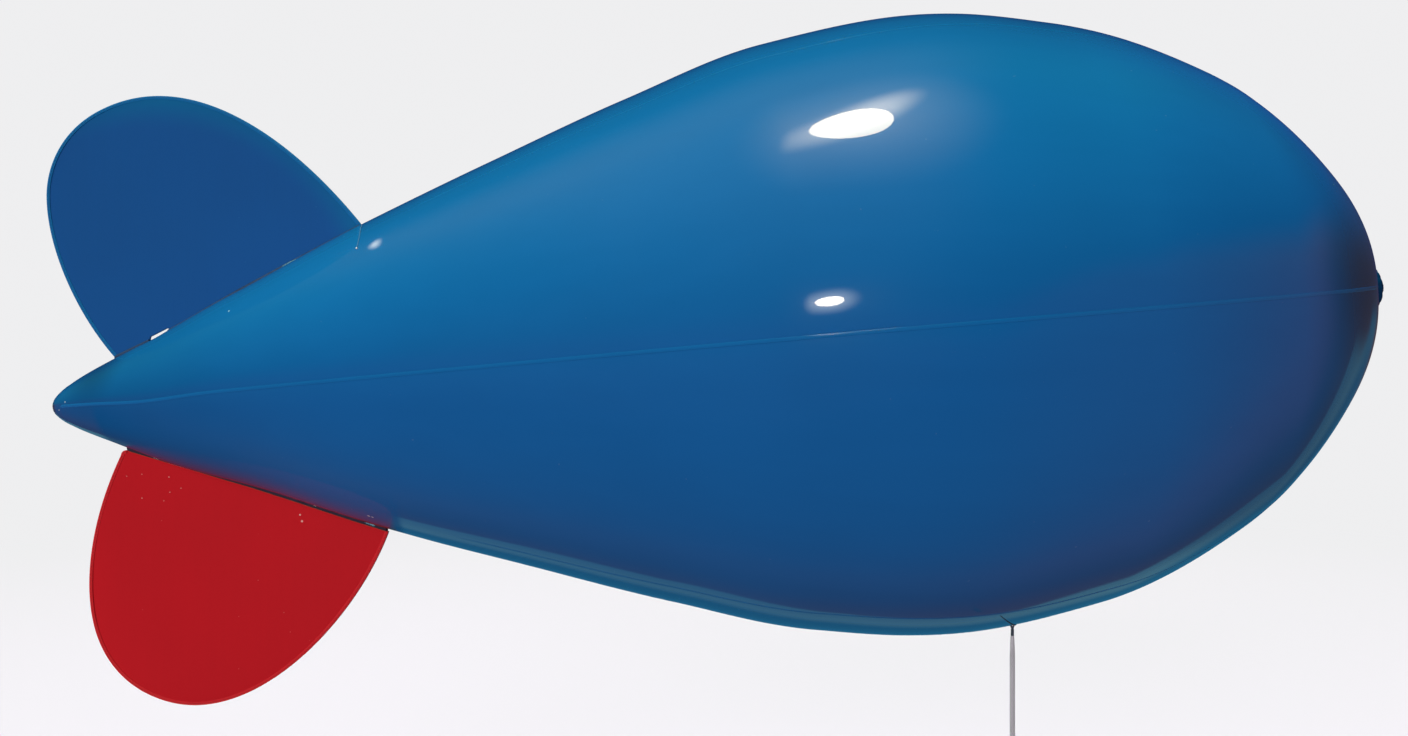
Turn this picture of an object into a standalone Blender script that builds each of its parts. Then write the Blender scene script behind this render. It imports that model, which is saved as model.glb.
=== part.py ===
"""Advertising blimp balloon: a tapered hull of six film gores with two fins, a filling neck and a tether.

Metres, +Z up. The nose points along +X and stands a little higher than the tail.
The origin is the hull's centre of buoyancy, on its long axis, where the air holds it.
Hull pieces are laid out in the hull's own frame: station from the tail tip along the axis,
across (+Y), and rise (square to the axis), then turned nose-up about the origin.
Angles around the hull start at the -Y side and go up over the top.
"""

import math

import bmesh
import bpy
from mathutils import Matrix, Vector
from mathutils.geometry import interpolate_bezier

GAP = 0.0003  # between pieces that touch

# Hull
PITCH = math.radians(5.30)  # nose up
HULL_LENGTH = 3.261
HOLD_STATION = 1.99  # centre of the hull's volume
FILM = 0.010  # the envelope's shell
GORES = 6
BULGE = 0.012  # how far a gore swells between its seams, as a share of the radius
BULGE_MIDDLE = 0.7  # the swell's height at which the radius is the section's own
RINGS = 34  # rows of facets along a gore
GORE_STEPS = 8  # facets across a gore
# Sections of the hull: station, radius
HULL_SECTIONS = (
    (0.000, 0.000),
    (0.050, 0.053),
    (0.170, 0.110),
    (0.500, 0.245),
    (0.840, 0.384),
    (1.170, 0.504),
    (1.510, 0.621),
    (1.840, 0.716),
    (2.180, 0.751),
    (2.510, 0.712),
    (2.850, 0.580),
    (3.100, 0.373),
    (3.184, 0.266),
    (HULL_LENGTH, 0.000),
)
GORE_NAMES = (
    "gore_near_upper",
    "gore_top",
    "gore_far_upper",
    "gore_far_lower",
    "gore_bottom",
    "gore_near_lower",
)
GORE_AFT = 0.050  # the tail cap closes what is behind
GORE_FORE = 3.2575  # the nose patch closes what is in front
TAIL_STEPS = 8

# Seams
SEAM_NAMES = (
    "seam_near",
    "seam_near_top",
    "seam_far_top",
    "seam_far",
    "seam_far_bottom",
    "seam_near_bottom",
)
SEAM_WIDTH = 0.008
SEAM_THICK = 0.0012
SEAM_LIFT = 0.0005
SEAM_ROWS = slice(0, -3)  # of the gores' own rows, so that strip and gore have the same facets

# Nose: patch, then the filling neck that is gathered and tied at its end
TURN_STEPS = 36
PATCH_RADIUS = 0.090
PATCH_THICK = 0.002
PATCH_LIFT = 0.0009
PATCH_STEPS = 6
RIM_STEP = 0.0002  # how finely the patch's rim is sought along the axis
NECK_RISE = -0.008  # the neck stands a little under the axis
NECK_RADIUS = 0.0545
NECK_FOOT = 0.0465  # radius where the neck stands on the patch
NECK_FOOT_STEPS = 3
NECK_ROUND = 0.012  # height of the bend above the foot
NECK_ROUND_IN = 0.003  # how much narrower the neck still is there
NECK_STRAIGHT = 0.030  # height at which the neck has its full radius
NECK_SHOULDER = 0.014
SHOULDER_STEPS = 5
NECK_END = 0.078  # beyond the nose tip
TIE_RADIUS = 0.027
TIE_WIDE = 0.003
TUFT_RADIUS = 0.021
TUFT_END = 0.088
CHAMFER = 0.002  # on the ends of the small turned pieces

# Fins, in the upright plane: node, side (+1 top, -1 bottom), finish, and the ends of the root line
# as station and rise. Then the free edge from the aft corner to the fore one, as three spans of
# anchor, handle, handle, anchor, each a length along the root and a height off it.
FIN_THICK = 0.008
EDGE_WIDE = 0.009
EDGE_THICK = 0.012
BEZIER_STEPS = 13
FINS = (
    (
        "top_fin",
        1,
        "blue_fin",
        ((0.162, 0.1134), (0.812, 0.3858)),
        (
            ((0.000, 0.000), (-0.032, 0.136), (-0.021, 0.316), (0.038, 0.431)),
            ((0.038, 0.431), (0.072, 0.498), (0.146, 0.562), (0.255, 0.562)),
            ((0.255, 0.562), (0.508, 0.562), (0.649, 0.288), (0.704, 0.000)),
        ),
    ),
    (
        "bottom_fin",
        -1,
        "red_fin",
        ((0.162, 0.1264), (0.810, 0.3870)),
        (
            ((0.000, 0.000), (-0.031, 0.191), (0.002, 0.344), (0.051, 0.431)),
            ((0.051, 0.431), (0.079, 0.482), (0.146, 0.570), (0.284, 0.570)),
            ((0.284, 0.570), (0.517, 0.570), (0.683, 0.240), (0.698, 0.000)),
        ),
    ),
)
# Root strips: node, its fin's row, start and end along the root
ROOT_STRIPS = (
    ("top_fin_strip_aft", 0, 0.004, 0.106),
    ("top_fin_strip_fore", 0, 0.152, 0.700),
    ("bottom_fin_strip", 1, 0.004, 0.692),
)
STRIP_HALF = 0.010
STRIP_STEPS = 9

# Belly: patch, webbing loop, and the tether under it
TETHER_STATION = 2.350
BELLY_PATCH = 0.090
BELLY_STEPS = 6
PIVOT_DROP = 0.018  # the middle of the loop's lowest bend under the hull
LOOP_CORD = 0.0025  # radius of the loop's own cord
LOOP_HALF = 0.011  # from the middle to each leg's centre line
LOOP_ARC_STEPS = 10
EYE_WIRE = 0.0025
EYE_RADIUS = 0.0105  # of the eye's centre line
EYE_DROP = EYE_RADIUS - EYE_WIRE - LOOP_CORD - GAP  # eye's centre under the pivot, as it hangs on the loop
EYE_STEPS = 28
EYE_SIDES = 10
WHIPPING_RADIUS = 0.004
WHIPPING_LENGTH = 0.017
TAPER_LENGTH = 0.050
ROPE_RADIUS = 0.00625
ROPE_LENGTH = 0.275
ROPE_POINTS = 12
SLEEVE_RADIUS = 0.009
SLEEVE_LENGTH = 0.040
LOW_EYE_WIRE = 0.0035
LOW_EYE_RADIUS = 0.0120
LINK_WIDE = 0.038
LINK_TALL = 0.056
LINK_BAR = 0.006
LINK_CORNER = 0.008
LINK_CORNER_STEPS = 3
LINK_SLOT_UP = 0.0012  # play between the low eye and the link's top bar

# Colours: red, green, blue, roughness, metallic
FINISH = {
    "blue_film": (0.025, 0.120, 0.330, 0.22, 0.0),
    "seam_film": (0.060, 0.190, 0.400, 0.30, 0.0),
    "blue_fin": (0.010, 0.065, 0.240, 0.35, 0.0),
    "red_fin": (0.420, 0.008, 0.014, 0.35, 0.0),
    "dark_strip": (0.030, 0.022, 0.050, 0.70, 0.0),
    "webbing": (0.030, 0.030, 0.045, 0.85, 0.0),
    "rope": (0.420, 0.400, 0.470, 0.90, 0.0),
    "steel": (0.560, 0.560, 0.580, 0.30, 1.0),
}


def material(name):
    red, green, blue, roughness, metallic = FINISH[name]
    made = bpy.data.materials.new(name)
    made.use_nodes = True
    shader = made.node_tree.nodes["Principled BSDF"]
    shader.inputs["Base Color"].default_value = (red, green, blue, 1.0)
    shader.inputs["Roughness"].default_value = roughness
    shader.inputs["Metallic"].default_value = metallic
    made.diffuse_color = (red, green, blue, 1.0)
    return made


def hull_radius(station):
    """The radius at a station, from a monotone cubic through the squares, which makes both ends round."""
    xs = [row[0] for row in HULL_SECTIONS]
    ys = [row[1] ** 2 for row in HULL_SECTIONS]
    last = len(xs) - 1
    steps = [xs[i + 1] - xs[i] for i in range(last)]
    rises = [(ys[i + 1] - ys[i]) / steps[i] for i in range(last)]
    slopes = [rises[0]]
    for i in range(1, last):
        if rises[i - 1] * rises[i] <= 0:
            slopes.append(0.0)
            continue
        before = 2 * steps[i] + steps[i - 1]
        after = steps[i] + 2 * steps[i - 1]
        slopes.append((before + after) / (before / rises[i - 1] + after / rises[i]))
    slopes.append(rises[-1])
    i = 0
    while i < last - 1 and station > xs[i + 1]:
        i += 1
    t = (station - xs[i]) / steps[i]
    square = (
        (1 + 2 * t) * (1 - t) ** 2 * ys[i]
        + t * (1 - t) ** 2 * steps[i] * slopes[i]
        + t * t * (3 - 2 * t) * ys[i + 1]
        + t * t * (t - 1) * steps[i] * slopes[i + 1]
    )
    return math.sqrt(max(square, 0.0))


def hull_normal(station):
    """The outward normal of the meridian, as its parts along and square to the axis."""
    step = 0.0005
    low = max(station - step, 0.0)
    high = min(station + step, HULL_LENGTH)
    slope = (hull_radius(high) - hull_radius(low)) / (high - low)
    size = math.hypot(1.0, slope)
    return -slope / size, 1.0 / size


def swell(angle):
    return 1 + BULGE * (abs(math.sin(GORES / 2 * angle)) - BULGE_MIDDLE)


def hull_point(station, angle, lift):
    """A point of the hull's skin in the hull's frame, moved out along its normal by lift."""
    along, out = hull_normal(station)
    radius = hull_radius(station) * swell(angle) + lift * out
    return Vector((station + lift * along, -radius * math.cos(angle), radius * math.sin(angle)))


def placed():
    """From the hull's frame to the row's: the hold point to the origin, then nose up."""
    return Matrix.Rotation(-PITCH, 4, "Y") @ Matrix.Translation((-HOLD_STATION, 0.0, 0.0))


def add(name, mesh_source, finish, matrix, smooth=True):
    """Makes the object of a bmesh, with its material, from points in the frame of matrix."""
    bmesh.ops.remove_doubles(mesh_source, verts=mesh_source.verts, dist=1e-6)
    bmesh.ops.recalc_face_normals(mesh_source, faces=mesh_source.faces)
    mesh = bpy.data.meshes.new(name)
    mesh_source.to_mesh(mesh)
    mesh_source.free()
    mesh.materials.append(material(finish))
    if smooth:
        mesh.shade_smooth()
        mesh.set_sharp_from_angle(angle=math.radians(35))
    made = bpy.data.objects.new(name, mesh)
    made.matrix_world = matrix
    bpy.context.scene.collection.objects.link(made)
    return made


def slab(name, low, high, finish, matrix):
    """A closed solid between two grids of points, each a list of rows."""
    made = bmesh.new()
    lows = [[made.verts.new(point) for point in row] for row in low]
    highs = [[made.verts.new(point) for point in row] for row in high]
    rows = len(lows)
    columns = len(lows[0])
    for i in range(rows - 1):
        for j in range(columns - 1):
            made.faces.new((lows[i][j], lows[i + 1][j], lows[i + 1][j + 1], lows[i][j + 1]))
            made.faces.new((highs[i][j], highs[i][j + 1], highs[i + 1][j + 1], highs[i + 1][j]))
    for i in range(rows - 1):
        for j in (0, columns - 1):
            made.faces.new((lows[i][j], highs[i][j], highs[i + 1][j], lows[i + 1][j]))
    for j in range(columns - 1):
        for i in (0, rows - 1):
            made.faces.new((lows[i][j], lows[i][j + 1], highs[i][j + 1], highs[i][j]))
    return add(name, made, finish, matrix)


def turned(name, profile, finish, matrix, steps=TURN_STEPS):
    """A solid of revolution about the X axis, from points as distance along it and radius."""
    made = bmesh.new()
    points = [made.verts.new((along, 0.0, radius)) for along, radius in profile]
    closed_on_axis = profile[0][1] == 0 and profile[-1][1] == 0
    pairs = list(zip(points, points[1:]))
    if not closed_on_axis:
        pairs.append((points[-1], points[0]))
    edges = [made.edges.new(pair) for pair in pairs]
    bmesh.ops.spin(
        made,
        geom=points + edges,
        axis=(1, 0, 0),
        cent=(0, 0, 0),
        steps=steps,
        angle=math.tau,
        use_merge=True,
    )
    return add(name, made, finish, matrix)


def plate(name, outline, thick, finish, matrix):
    """A flat plate of this outline in the XZ plane, with its thickness across Y."""
    made = bmesh.new()
    face = made.faces.new([made.verts.new((x, -thick / 2, z)) for x, z in outline])
    grown = bmesh.ops.extrude_face_region(made, geom=[face])["geom"]
    moved = [item for item in grown if isinstance(item, bmesh.types.BMVert)]
    bmesh.ops.translate(made, verts=moved, vec=(0, thick, 0))
    return add(name, made, finish, matrix, smooth=False)


def ring(name, centre_radius, wire, finish, matrix):
    """A torus in the XZ plane."""
    made = bmesh.new()
    rows = []
    for i in range(EYE_STEPS):
        around = math.tau * i / EYE_STEPS
        row = []
        for j in range(EYE_SIDES):
            turn = math.tau * j / EYE_SIDES
            radius = centre_radius + wire * math.cos(turn)
            point = (radius * math.sin(around), wire * math.sin(turn), radius * math.cos(around))
            row.append(made.verts.new(point))
        rows.append(row)
    for i in range(EYE_STEPS):
        following = rows[(i + 1) % EYE_STEPS]
        for j in range(EYE_SIDES):
            k = (j + 1) % EYE_SIDES
            made.faces.new((rows[i][j], following[j], following[k], rows[i][k]))
    return add(name, made, finish, matrix)


def gore_stations():
    """The gores' rows, which bunch up towards both of the hull's ends."""
    turns = [math.acos(1 - 2 * station / HULL_LENGTH) for station in (GORE_AFT, GORE_FORE)]
    return [
        HULL_LENGTH * (1 - math.cos(turns[0] + (turns[1] - turns[0]) * i / RINGS)) / 2
        for i in range(RINGS + 1)
    ]


def build_gores(matrix):
    span = math.tau / GORES
    for number, name in enumerate(GORE_NAMES):
        low = []
        high = []
        for station in gore_stations():
            clear = GAP / 2 / hull_radius(station)
            first = number * span + clear
            angles = [first + (span - 2 * clear) * j / GORE_STEPS for j in range(GORE_STEPS + 1)]
            low.append([hull_point(station, angle, -FILM) for angle in angles])
            high.append([hull_point(station, angle, 0.0) for angle in angles])
        slab(name, low, high, "blue_film", matrix)


def build_seams(matrix):
    for number, name in enumerate(SEAM_NAMES):
        middle = number * math.tau / GORES
        low = []
        high = []
        for station in gore_stations()[SEAM_ROWS]:
            half = SEAM_WIDTH / 2 / hull_radius(station)
            top = SEAM_LIFT + SEAM_THICK
            low.append([strip_point(station, middle, side * half, SEAM_LIFT) for side in (-1, 1)])
            high.append([strip_point(station, middle, side * half, top) for side in (-1, 1)])
        slab(name, low, high, "seam_film", matrix)


def strip_point(station, middle, offset, lift):
    """A point beside a seam, at the seam's own height, so that a strip lies flat over it."""
    along, out = hull_normal(station)
    radius = hull_radius(station) * swell(middle) + lift * out
    angle = middle + offset
    return Vector((station + lift * along, -radius * math.cos(angle), radius * math.sin(angle)))


def build_tail(matrix):
    aft = GORE_AFT - GAP
    profile = [(0.0, 0.0)]
    for i in range(1, TAIL_STEPS + 1):
        station = aft * (i / TAIL_STEPS) ** 2
        profile.append((station, hull_radius(station)))
    profile.append((aft, 0.0))
    turned("tail_cap", profile, "blue_film", matrix)


def build_nose(matrix):
    """The patch over the gores' ends, the neck that stands on it, its tie and the gathered end beyond."""
    outer = []
    inner = []
    rim = HULL_LENGTH
    while hull_radius(rim) < PATCH_RADIUS:
        rim -= RIM_STEP
    for i in range(PATCH_STEPS):
        station = rim + (HULL_LENGTH - rim) * (1 - (1 - i / PATCH_STEPS) ** 2)
        along, out = hull_normal(station)
        radius = hull_radius(station)
        inner.append((station + PATCH_LIFT * along, radius + PATCH_LIFT * out))
        top = PATCH_LIFT + PATCH_THICK
        outer.append((station + top * along, radius + top * out))
    tip = HULL_LENGTH + PATCH_LIFT
    face = tip + PATCH_THICK
    turned(
        "nose_patch",
        [(tip, 0.0)] + inner[::-1] + outer + [(face, 0.0)],
        "blue_film",
        matrix,
    )
    place = matrix @ Matrix.Translation((0.0, 0.0, NECK_RISE))
    end = HULL_LENGTH + NECK_END
    turned("filling_neck", neck_profile(face + GAP, end), "blue_film", place)
    tuft_end = HULL_LENGTH + TUFT_END
    tuft = [(end + GAP, 0.0), (end + GAP, TUFT_RADIUS - CHAMFER), (end + CHAMFER, TUFT_RADIUS)]
    tuft += [(tuft_end - CHAMFER, TUFT_RADIUS), (tuft_end, TUFT_RADIUS - CHAMFER), (tuft_end, 0.0)]
    turned("neck_end", tuft, "blue_film", place)
    low = TUFT_RADIUS + GAP
    tie = [(aft, radius) for aft in (end + GAP, end + TIE_WIDE) for radius in (low, TIE_RADIUS)]
    turned("neck_tie", [tie[0], tie[1], tie[3], tie[2]], "dark_strip", place)


def neck_profile(foot, end):
    """From the patch's crown, which the foot follows, up the side and over the gathered shoulder."""
    nose_curve = HULL_SECTIONS[-2][1] ** 2 / (2 * (HULL_LENGTH - HULL_SECTIONS[-2][0]))
    profile = [(foot, 0.0)]
    for i in range(NECK_FOOT_STEPS):
        radius = -NECK_RISE + (NECK_FOOT + NECK_RISE) * i / (NECK_FOOT_STEPS - 1)
        profile.append((foot - (radius + NECK_RISE) ** 2 / (2 * nose_curve), radius))
    profile.append((foot + NECK_ROUND, NECK_RADIUS - NECK_ROUND_IN))
    profile.append((foot + NECK_STRAIGHT, NECK_RADIUS))
    gather = NECK_RADIUS - TUFT_RADIUS
    for i in range(SHOULDER_STEPS + 1):
        turn = math.pi / 2 * i / SHOULDER_STEPS
        along = end - NECK_SHOULDER * (1 - math.sin(turn))
        profile.append((along, TUFT_RADIUS + gather * math.cos(turn)))
    profile.append((end, 0.0))
    return profile


def fin_point(root, along, off, side):
    """From a fin's own root line to the hull's frame, as station and rise."""
    (aft_station, aft_rise), (fore_station, fore_rise) = root
    run = fore_station - aft_station
    climb = fore_rise - aft_rise
    length = math.hypot(run, climb)
    station = aft_station + (along * run - off * climb) / length
    rise = aft_rise + (along * climb + off * run) / length
    return station, side * rise


def fin_edge(spans):
    """A fin's free edge from its aft corner to its fore one."""
    points = []
    for span in spans:
        corners = [Vector((*corner, 0.0)) for corner in span]
        read = interpolate_bezier(*corners, BEZIER_STEPS)
        points += [(point.x, point.y) for point in read[:-1]]
    points.append(spans[-1][-1])
    return points


def inset(points, by):
    """The same edge moved in by this much, with its ends kept on the root line."""
    moved = []
    for i, (along, off) in enumerate(points):
        before = points[max(i - 1, 0)]
        after = points[min(i + 1, len(points) - 1)]
        run = after[0] - before[0]
        climb = after[1] - before[1]
        size = math.hypot(run, climb)
        moved.append((along + by * climb / size, off - by * run / size))
    moved[0] = (points[0][0] + by, 0.0)
    moved[-1] = (points[-1][0] - by, 0.0)
    return moved


def build_fins(matrix):
    for name, side, finish, root, spans in FINS:
        edge = fin_edge(spans)
        rim = edge + inset(edge, EDGE_WIDE)[::-1]
        plate(name + "_edging", [fin_point(root, *point, side) for point in rim], EDGE_THICK, finish, matrix)
        core = inset(edge, EDGE_WIDE + GAP)
        plate(name, [fin_point(root, *point, side) for point in core], FIN_THICK, finish, matrix)


def build_root_strips(matrix):
    """The strips between a fin's root and the hull, whose underside follows the hull."""
    for name, row, first, last in ROOT_STRIPS:
        side = FINS[row][1]
        root = FINS[row][3]
        low = []
        high = []
        for i in range(STRIP_STEPS + 1):
            station, top = fin_point(root, first + (last - first) * i / STRIP_STEPS, -GAP, 1)
            radius = hull_radius(station) * swell(math.pi / 2)
            slope = hull_normal(station)[1]
            low_row = []
            high_row = []
            for across in (-STRIP_HALF, -STRIP_HALF / 2, 0.0, STRIP_HALF / 2, STRIP_HALF):
                under = math.sqrt(radius**2 - across**2) + 2 * GAP / slope
                low_row.append((station, across, side * under))
                high_row.append((station, across, side * top))
            low.append(low_row)
            high.append(high_row)
        slab(name, low, high, "dark_strip", matrix)


def build_belly(matrix):
    """The reinforcing patch that the tether's loop is sewn to."""
    low = []
    high = []
    radius = hull_radius(TETHER_STATION)
    for i in range(BELLY_STEPS + 1):
        station = TETHER_STATION + BELLY_PATCH * (i / BELLY_STEPS - 0.5)
        across = [BELLY_PATCH * (j / BELLY_STEPS - 0.5) for j in range(BELLY_STEPS + 1)]
        angles = [-math.pi / 2 + offset / radius for offset in across]
        low.append([hull_point(station, angle, 2 * GAP) for angle in angles])
        high.append([hull_point(station, angle, 2 * GAP + PATCH_THICK) for angle in angles])
    slab("belly_patch", low, high, "blue_film", matrix)


def pivot_point(matrix):
    """The tether's pivot in the row's frame: straight under the hull at the tether's station."""
    belly = matrix @ hull_point(TETHER_STATION, -math.pi / 2, 0.0)
    return Vector((belly.x, 0.0, belly.z - PIVOT_DROP))


def tube(name, points, radius, finish):
    """A round cord through these points, as a curve with a bevel and closed ends."""
    curve = bpy.data.curves.new(name, "CURVE")
    curve.dimensions = "3D"
    curve.bevel_depth = radius
    curve.bevel_resolution = 2
    curve.use_fill_caps = True
    spline = curve.splines.new("POLY")
    spline.points.add(len(points) - 1)
    for slot, point in zip(spline.points, points):
        slot.co = (*point, 1.0)
    curve.materials.append(material(finish))
    made = bpy.data.objects.new(name, curve)
    bpy.context.scene.collection.objects.link(made)
    return made


def build_loop(pivot):
    """A cord that comes down from the patch, bends under the pivot and goes back up, a U seen along X."""
    top = PIVOT_DROP - PATCH_THICK - 5 * GAP
    path = [(-LOOP_HALF, top)]
    for i in range(LOOP_ARC_STEPS + 1):
        turn = math.pi * i / LOOP_ARC_STEPS
        path.append((-LOOP_HALF * math.cos(turn), LOOP_HALF - LOOP_HALF * math.sin(turn)))
    path.append((LOOP_HALF, top))
    tube("belly_loop", [pivot + Vector((0, across, up)) for across, up in path], LOOP_CORD, "webbing")


def upright(pivot, drop):
    """A frame whose X axis points down from a point this far under the pivot."""
    return Matrix.Translation(pivot - Vector((0, 0, drop))) @ Matrix.Rotation(math.pi / 2, 4, "Y")


def link_outline():
    """The link's outer outline, clockwise from its top bar, as a rectangle with round corners."""
    corner = LINK_CORNER
    wide = LINK_WIDE / 2
    tall = LINK_TALL
    outside = []
    for centre_x, centre_z, start in (
        (wide - corner, -corner, 90),
        (wide - corner, corner - tall, 0),
        (corner - wide, corner - tall, -90),
        (corner - wide, -corner, -180),
    ):
        for i in range(LINK_CORNER_STEPS + 1):
            turn = math.radians(start - 90 * i / LINK_CORNER_STEPS)
            outside.append((centre_x + corner * math.cos(turn), centre_z + corner * math.sin(turn)))
    return outside


def build_link(matrix):
    """The closed link at the rope's end: a square bar bent round, between two outlines."""
    outside = link_outline()
    scale_x = (LINK_WIDE - 2 * LINK_BAR) / LINK_WIDE
    scale_z = (LINK_TALL - 2 * LINK_BAR) / LINK_TALL
    inside = [(x * scale_x, -LINK_TALL / 2 + (z + LINK_TALL / 2) * scale_z) for x, z in outside]
    made = bmesh.new()
    count = len(outside)
    loops = []
    for across in (-LINK_BAR / 2, LINK_BAR / 2):
        for outline in (outside, inside):
            loops.append([made.verts.new((x, across, z)) for x, z in outline])
    near_out, near_in, far_out, far_in = loops
    for i in range(count):
        k = (i + 1) % count
        for one, two in ((near_out, near_in), (near_in, far_in), (far_in, far_out), (far_out, near_out)):
            made.faces.new((one[i], one[k], two[k], two[i]))
    return add("tether_link", made, "steel", matrix, smooth=False)


def build_tether(pivot):
    """Everything that swings on the loop, straight down from the pivot. Its objects hang on one empty there."""
    holder = bpy.data.objects.new("tether_pivot", None)
    holder.location = pivot
    bpy.context.scene.collection.objects.link(holder)
    pieces = []
    at = Matrix.Translation(pivot - Vector((0, 0, EYE_DROP)))
    pieces.append(ring("tether_eye", EYE_RADIUS, EYE_WIRE, "webbing", at))
    drop = EYE_DROP + EYE_RADIUS + EYE_WIRE + GAP
    whipping = [(0, 0), (0, WHIPPING_RADIUS - CHAMFER / 2), (CHAMFER, WHIPPING_RADIUS)]
    whipping += [(WHIPPING_LENGTH, WHIPPING_RADIUS), (WHIPPING_LENGTH, 0)]
    pieces.append(turned("tether_whipping", whipping, "webbing", upright(pivot, drop), 16))
    drop += WHIPPING_LENGTH + GAP
    taper = [(0, 0), (0, WHIPPING_RADIUS), (TAPER_LENGTH, ROPE_RADIUS), (TAPER_LENGTH, 0)]
    pieces.append(turned("tether_splice", taper, "rope", upright(pivot, drop), 16))
    drop += TAPER_LENGTH + GAP
    pieces.append(build_rope(pivot, drop))
    drop += ROPE_LENGTH + GAP
    sleeve = [(0, 0), (0, SLEEVE_RADIUS - CHAMFER), (CHAMFER, SLEEVE_RADIUS)]
    sleeve += [(SLEEVE_LENGTH - CHAMFER, SLEEVE_RADIUS), (SLEEVE_LENGTH, SLEEVE_RADIUS - CHAMFER)]
    sleeve.append((SLEEVE_LENGTH, 0))
    pieces.append(turned("tether_sleeve", sleeve, "webbing", upright(pivot, drop), 16))
    drop += SLEEVE_LENGTH + GAP + LOW_EYE_RADIUS + LOW_EYE_WIRE
    across = Matrix.Rotation(math.pi / 2, 4, "Z")
    low_eye = Matrix.Translation(pivot - Vector((0, 0, drop))) @ across
    pieces.append(ring("tether_low_eye", LOW_EYE_RADIUS, LOW_EYE_WIRE, "rope", low_eye))
    drop += LOW_EYE_RADIUS - LOW_EYE_WIRE - LINK_BAR - LINK_SLOT_UP
    pieces.append(build_link(Matrix.Translation(pivot - Vector((0, 0, drop)))))
    bpy.context.view_layer.update()
    for piece in pieces:
        piece.parent = holder
        piece.matrix_parent_inverse = holder.matrix_world.inverted()


def build_rope(pivot, drop):
    steps = ROPE_POINTS - 1
    points = [pivot - Vector((0, 0, drop + ROPE_LENGTH * i / steps)) for i in range(ROPE_POINTS)]
    return tube("tether_rope", points, ROPE_RADIUS, "rope")


def main():
    for old in list(bpy.data.objects):
        bpy.data.objects.remove(old)
    matrix = placed()
    build_gores(matrix)
    build_seams(matrix)
    build_tail(matrix)
    build_nose(matrix)
    build_fins(matrix)
    build_root_strips(matrix)
    build_belly(matrix)
    pivot = pivot_point(matrix)
    build_loop(pivot)
    build_tether(pivot)


main()
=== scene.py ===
"""The looks of an advertising blimp balloon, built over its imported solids.

Metres, +Z up. The nose points along +X and stands a little higher than the tail.
Hull pieces are laid out in the hull's own frame: station from the tail tip along the axis,
across (+Y), and rise (square to the axis), then turned nose-up about the origin.
Angles around the hull start at the -Y side and go up over the top.
"""

from math import acos, copysign, cos, exp, hypot, pi, radians, sin, sqrt, tau

import bmesh
import bpy
from bpy.props import FloatProperty, FloatVectorProperty, IntProperty, PointerProperty
from mathutils import Matrix, Vector, noise
from mathutils.geometry import interpolate_bezier


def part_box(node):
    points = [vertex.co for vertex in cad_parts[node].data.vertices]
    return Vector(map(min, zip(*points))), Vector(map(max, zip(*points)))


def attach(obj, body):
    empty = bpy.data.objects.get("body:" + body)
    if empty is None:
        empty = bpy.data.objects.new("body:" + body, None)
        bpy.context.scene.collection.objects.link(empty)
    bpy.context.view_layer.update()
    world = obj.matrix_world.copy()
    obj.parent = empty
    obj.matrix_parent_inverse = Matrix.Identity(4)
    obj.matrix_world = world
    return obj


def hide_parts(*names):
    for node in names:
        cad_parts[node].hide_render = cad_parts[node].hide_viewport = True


bl_info = {
    "name": "Advertising Blimp",
    "version": (1, 0, 0),
    "blender": (4, 5, 0),
    "location": "View3D > Sidebar > Blimp",
    "description": "Builds a seamed film blimp with its fins, filling neck, tether and studio",
    "category": "Object",
}

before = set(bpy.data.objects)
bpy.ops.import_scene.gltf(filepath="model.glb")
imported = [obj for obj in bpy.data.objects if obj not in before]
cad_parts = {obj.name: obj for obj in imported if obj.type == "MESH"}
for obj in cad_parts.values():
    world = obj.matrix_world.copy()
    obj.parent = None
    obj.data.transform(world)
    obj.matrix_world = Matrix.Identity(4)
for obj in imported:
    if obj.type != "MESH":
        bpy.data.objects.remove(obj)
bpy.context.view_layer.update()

# Hull, as its solids have it
PITCH = radians(5.30)
HULL_LENGTH = 3.261
HOLD_STATION = 1.99
GORES = 6
GORE_TURN = tau / GORES
SWELL_MIDDLE = 0.7
SEAM_EASE = 0.45  # how far the swell is smoothed out at the seams above and below the sides
HULL_SECTIONS = (
    (0.000, 0.000), (0.050, 0.053), (0.170, 0.110), (0.500, 0.245), (0.840, 0.384),
    (1.170, 0.504), (1.510, 0.621), (1.840, 0.716), (2.180, 0.751), (2.510, 0.712),
    (2.850, 0.580), (3.100, 0.373), (3.184, 0.266), (HULL_LENGTH, 0.000),
)
GORE_NODES = (
    "gore_near_upper", "gore_top", "gore_far_upper", "gore_far_lower", "gore_bottom", "gore_near_lower",
)
SEAM_NODES = (
    "seam_near", "seam_near_top", "seam_far_top", "seam_far", "seam_far_bottom", "seam_near_bottom",
)
WELD_START = 0.040
WELD_END = 3.2475
SAG_TAIL = 0.014  # how far the two side seams hang under the middle, as an angle
SAG_NOSE = 0.028  # what comes to it by the nose
DROOP = (0.0070, 0.300, 0.130)  # of the hull ahead of its tail tip: how far, where, over what reach
# How far the nose's upper side is pressed down, against its height, and where that comes in
NOSE_FLAT = (0.0130, (2.30, 2.60))
# How far the underside behind the loop is drawn up, against its depth, and where that comes in and ends
BELLY_RISE = (0.0068, (0.90, 1.15), (2.05, 1.75))
HOLLOW = (0.0036, 0.283, 0.022)  # on top, under the bar: how deep, where, over what reach
# How deep the seams lie that are too flat to show: where they come up, and how high up or low down
WELD_SINK = (0.0013, (1.15, 0.85), (0.2, 0.6))
TOP = pi / 2  # the angle of the hull's upper line
BELLY = -pi / 2
# Added to sizes that are divided by, for points on the axis
TINY = 0.000001
SMALL = 0.0001

# Nose, tail and belly
TAIL_END = 0.0535
PATCH_RADIUS = 0.090
NECK_RISE = -0.007
NECK_RADIUS = 0.0590
NECK_FOOT = 0.0465
NECK_SHOULDER = 0.0135
NECK_END = 0.068
TUFT_RADIUS = 0.021
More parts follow.
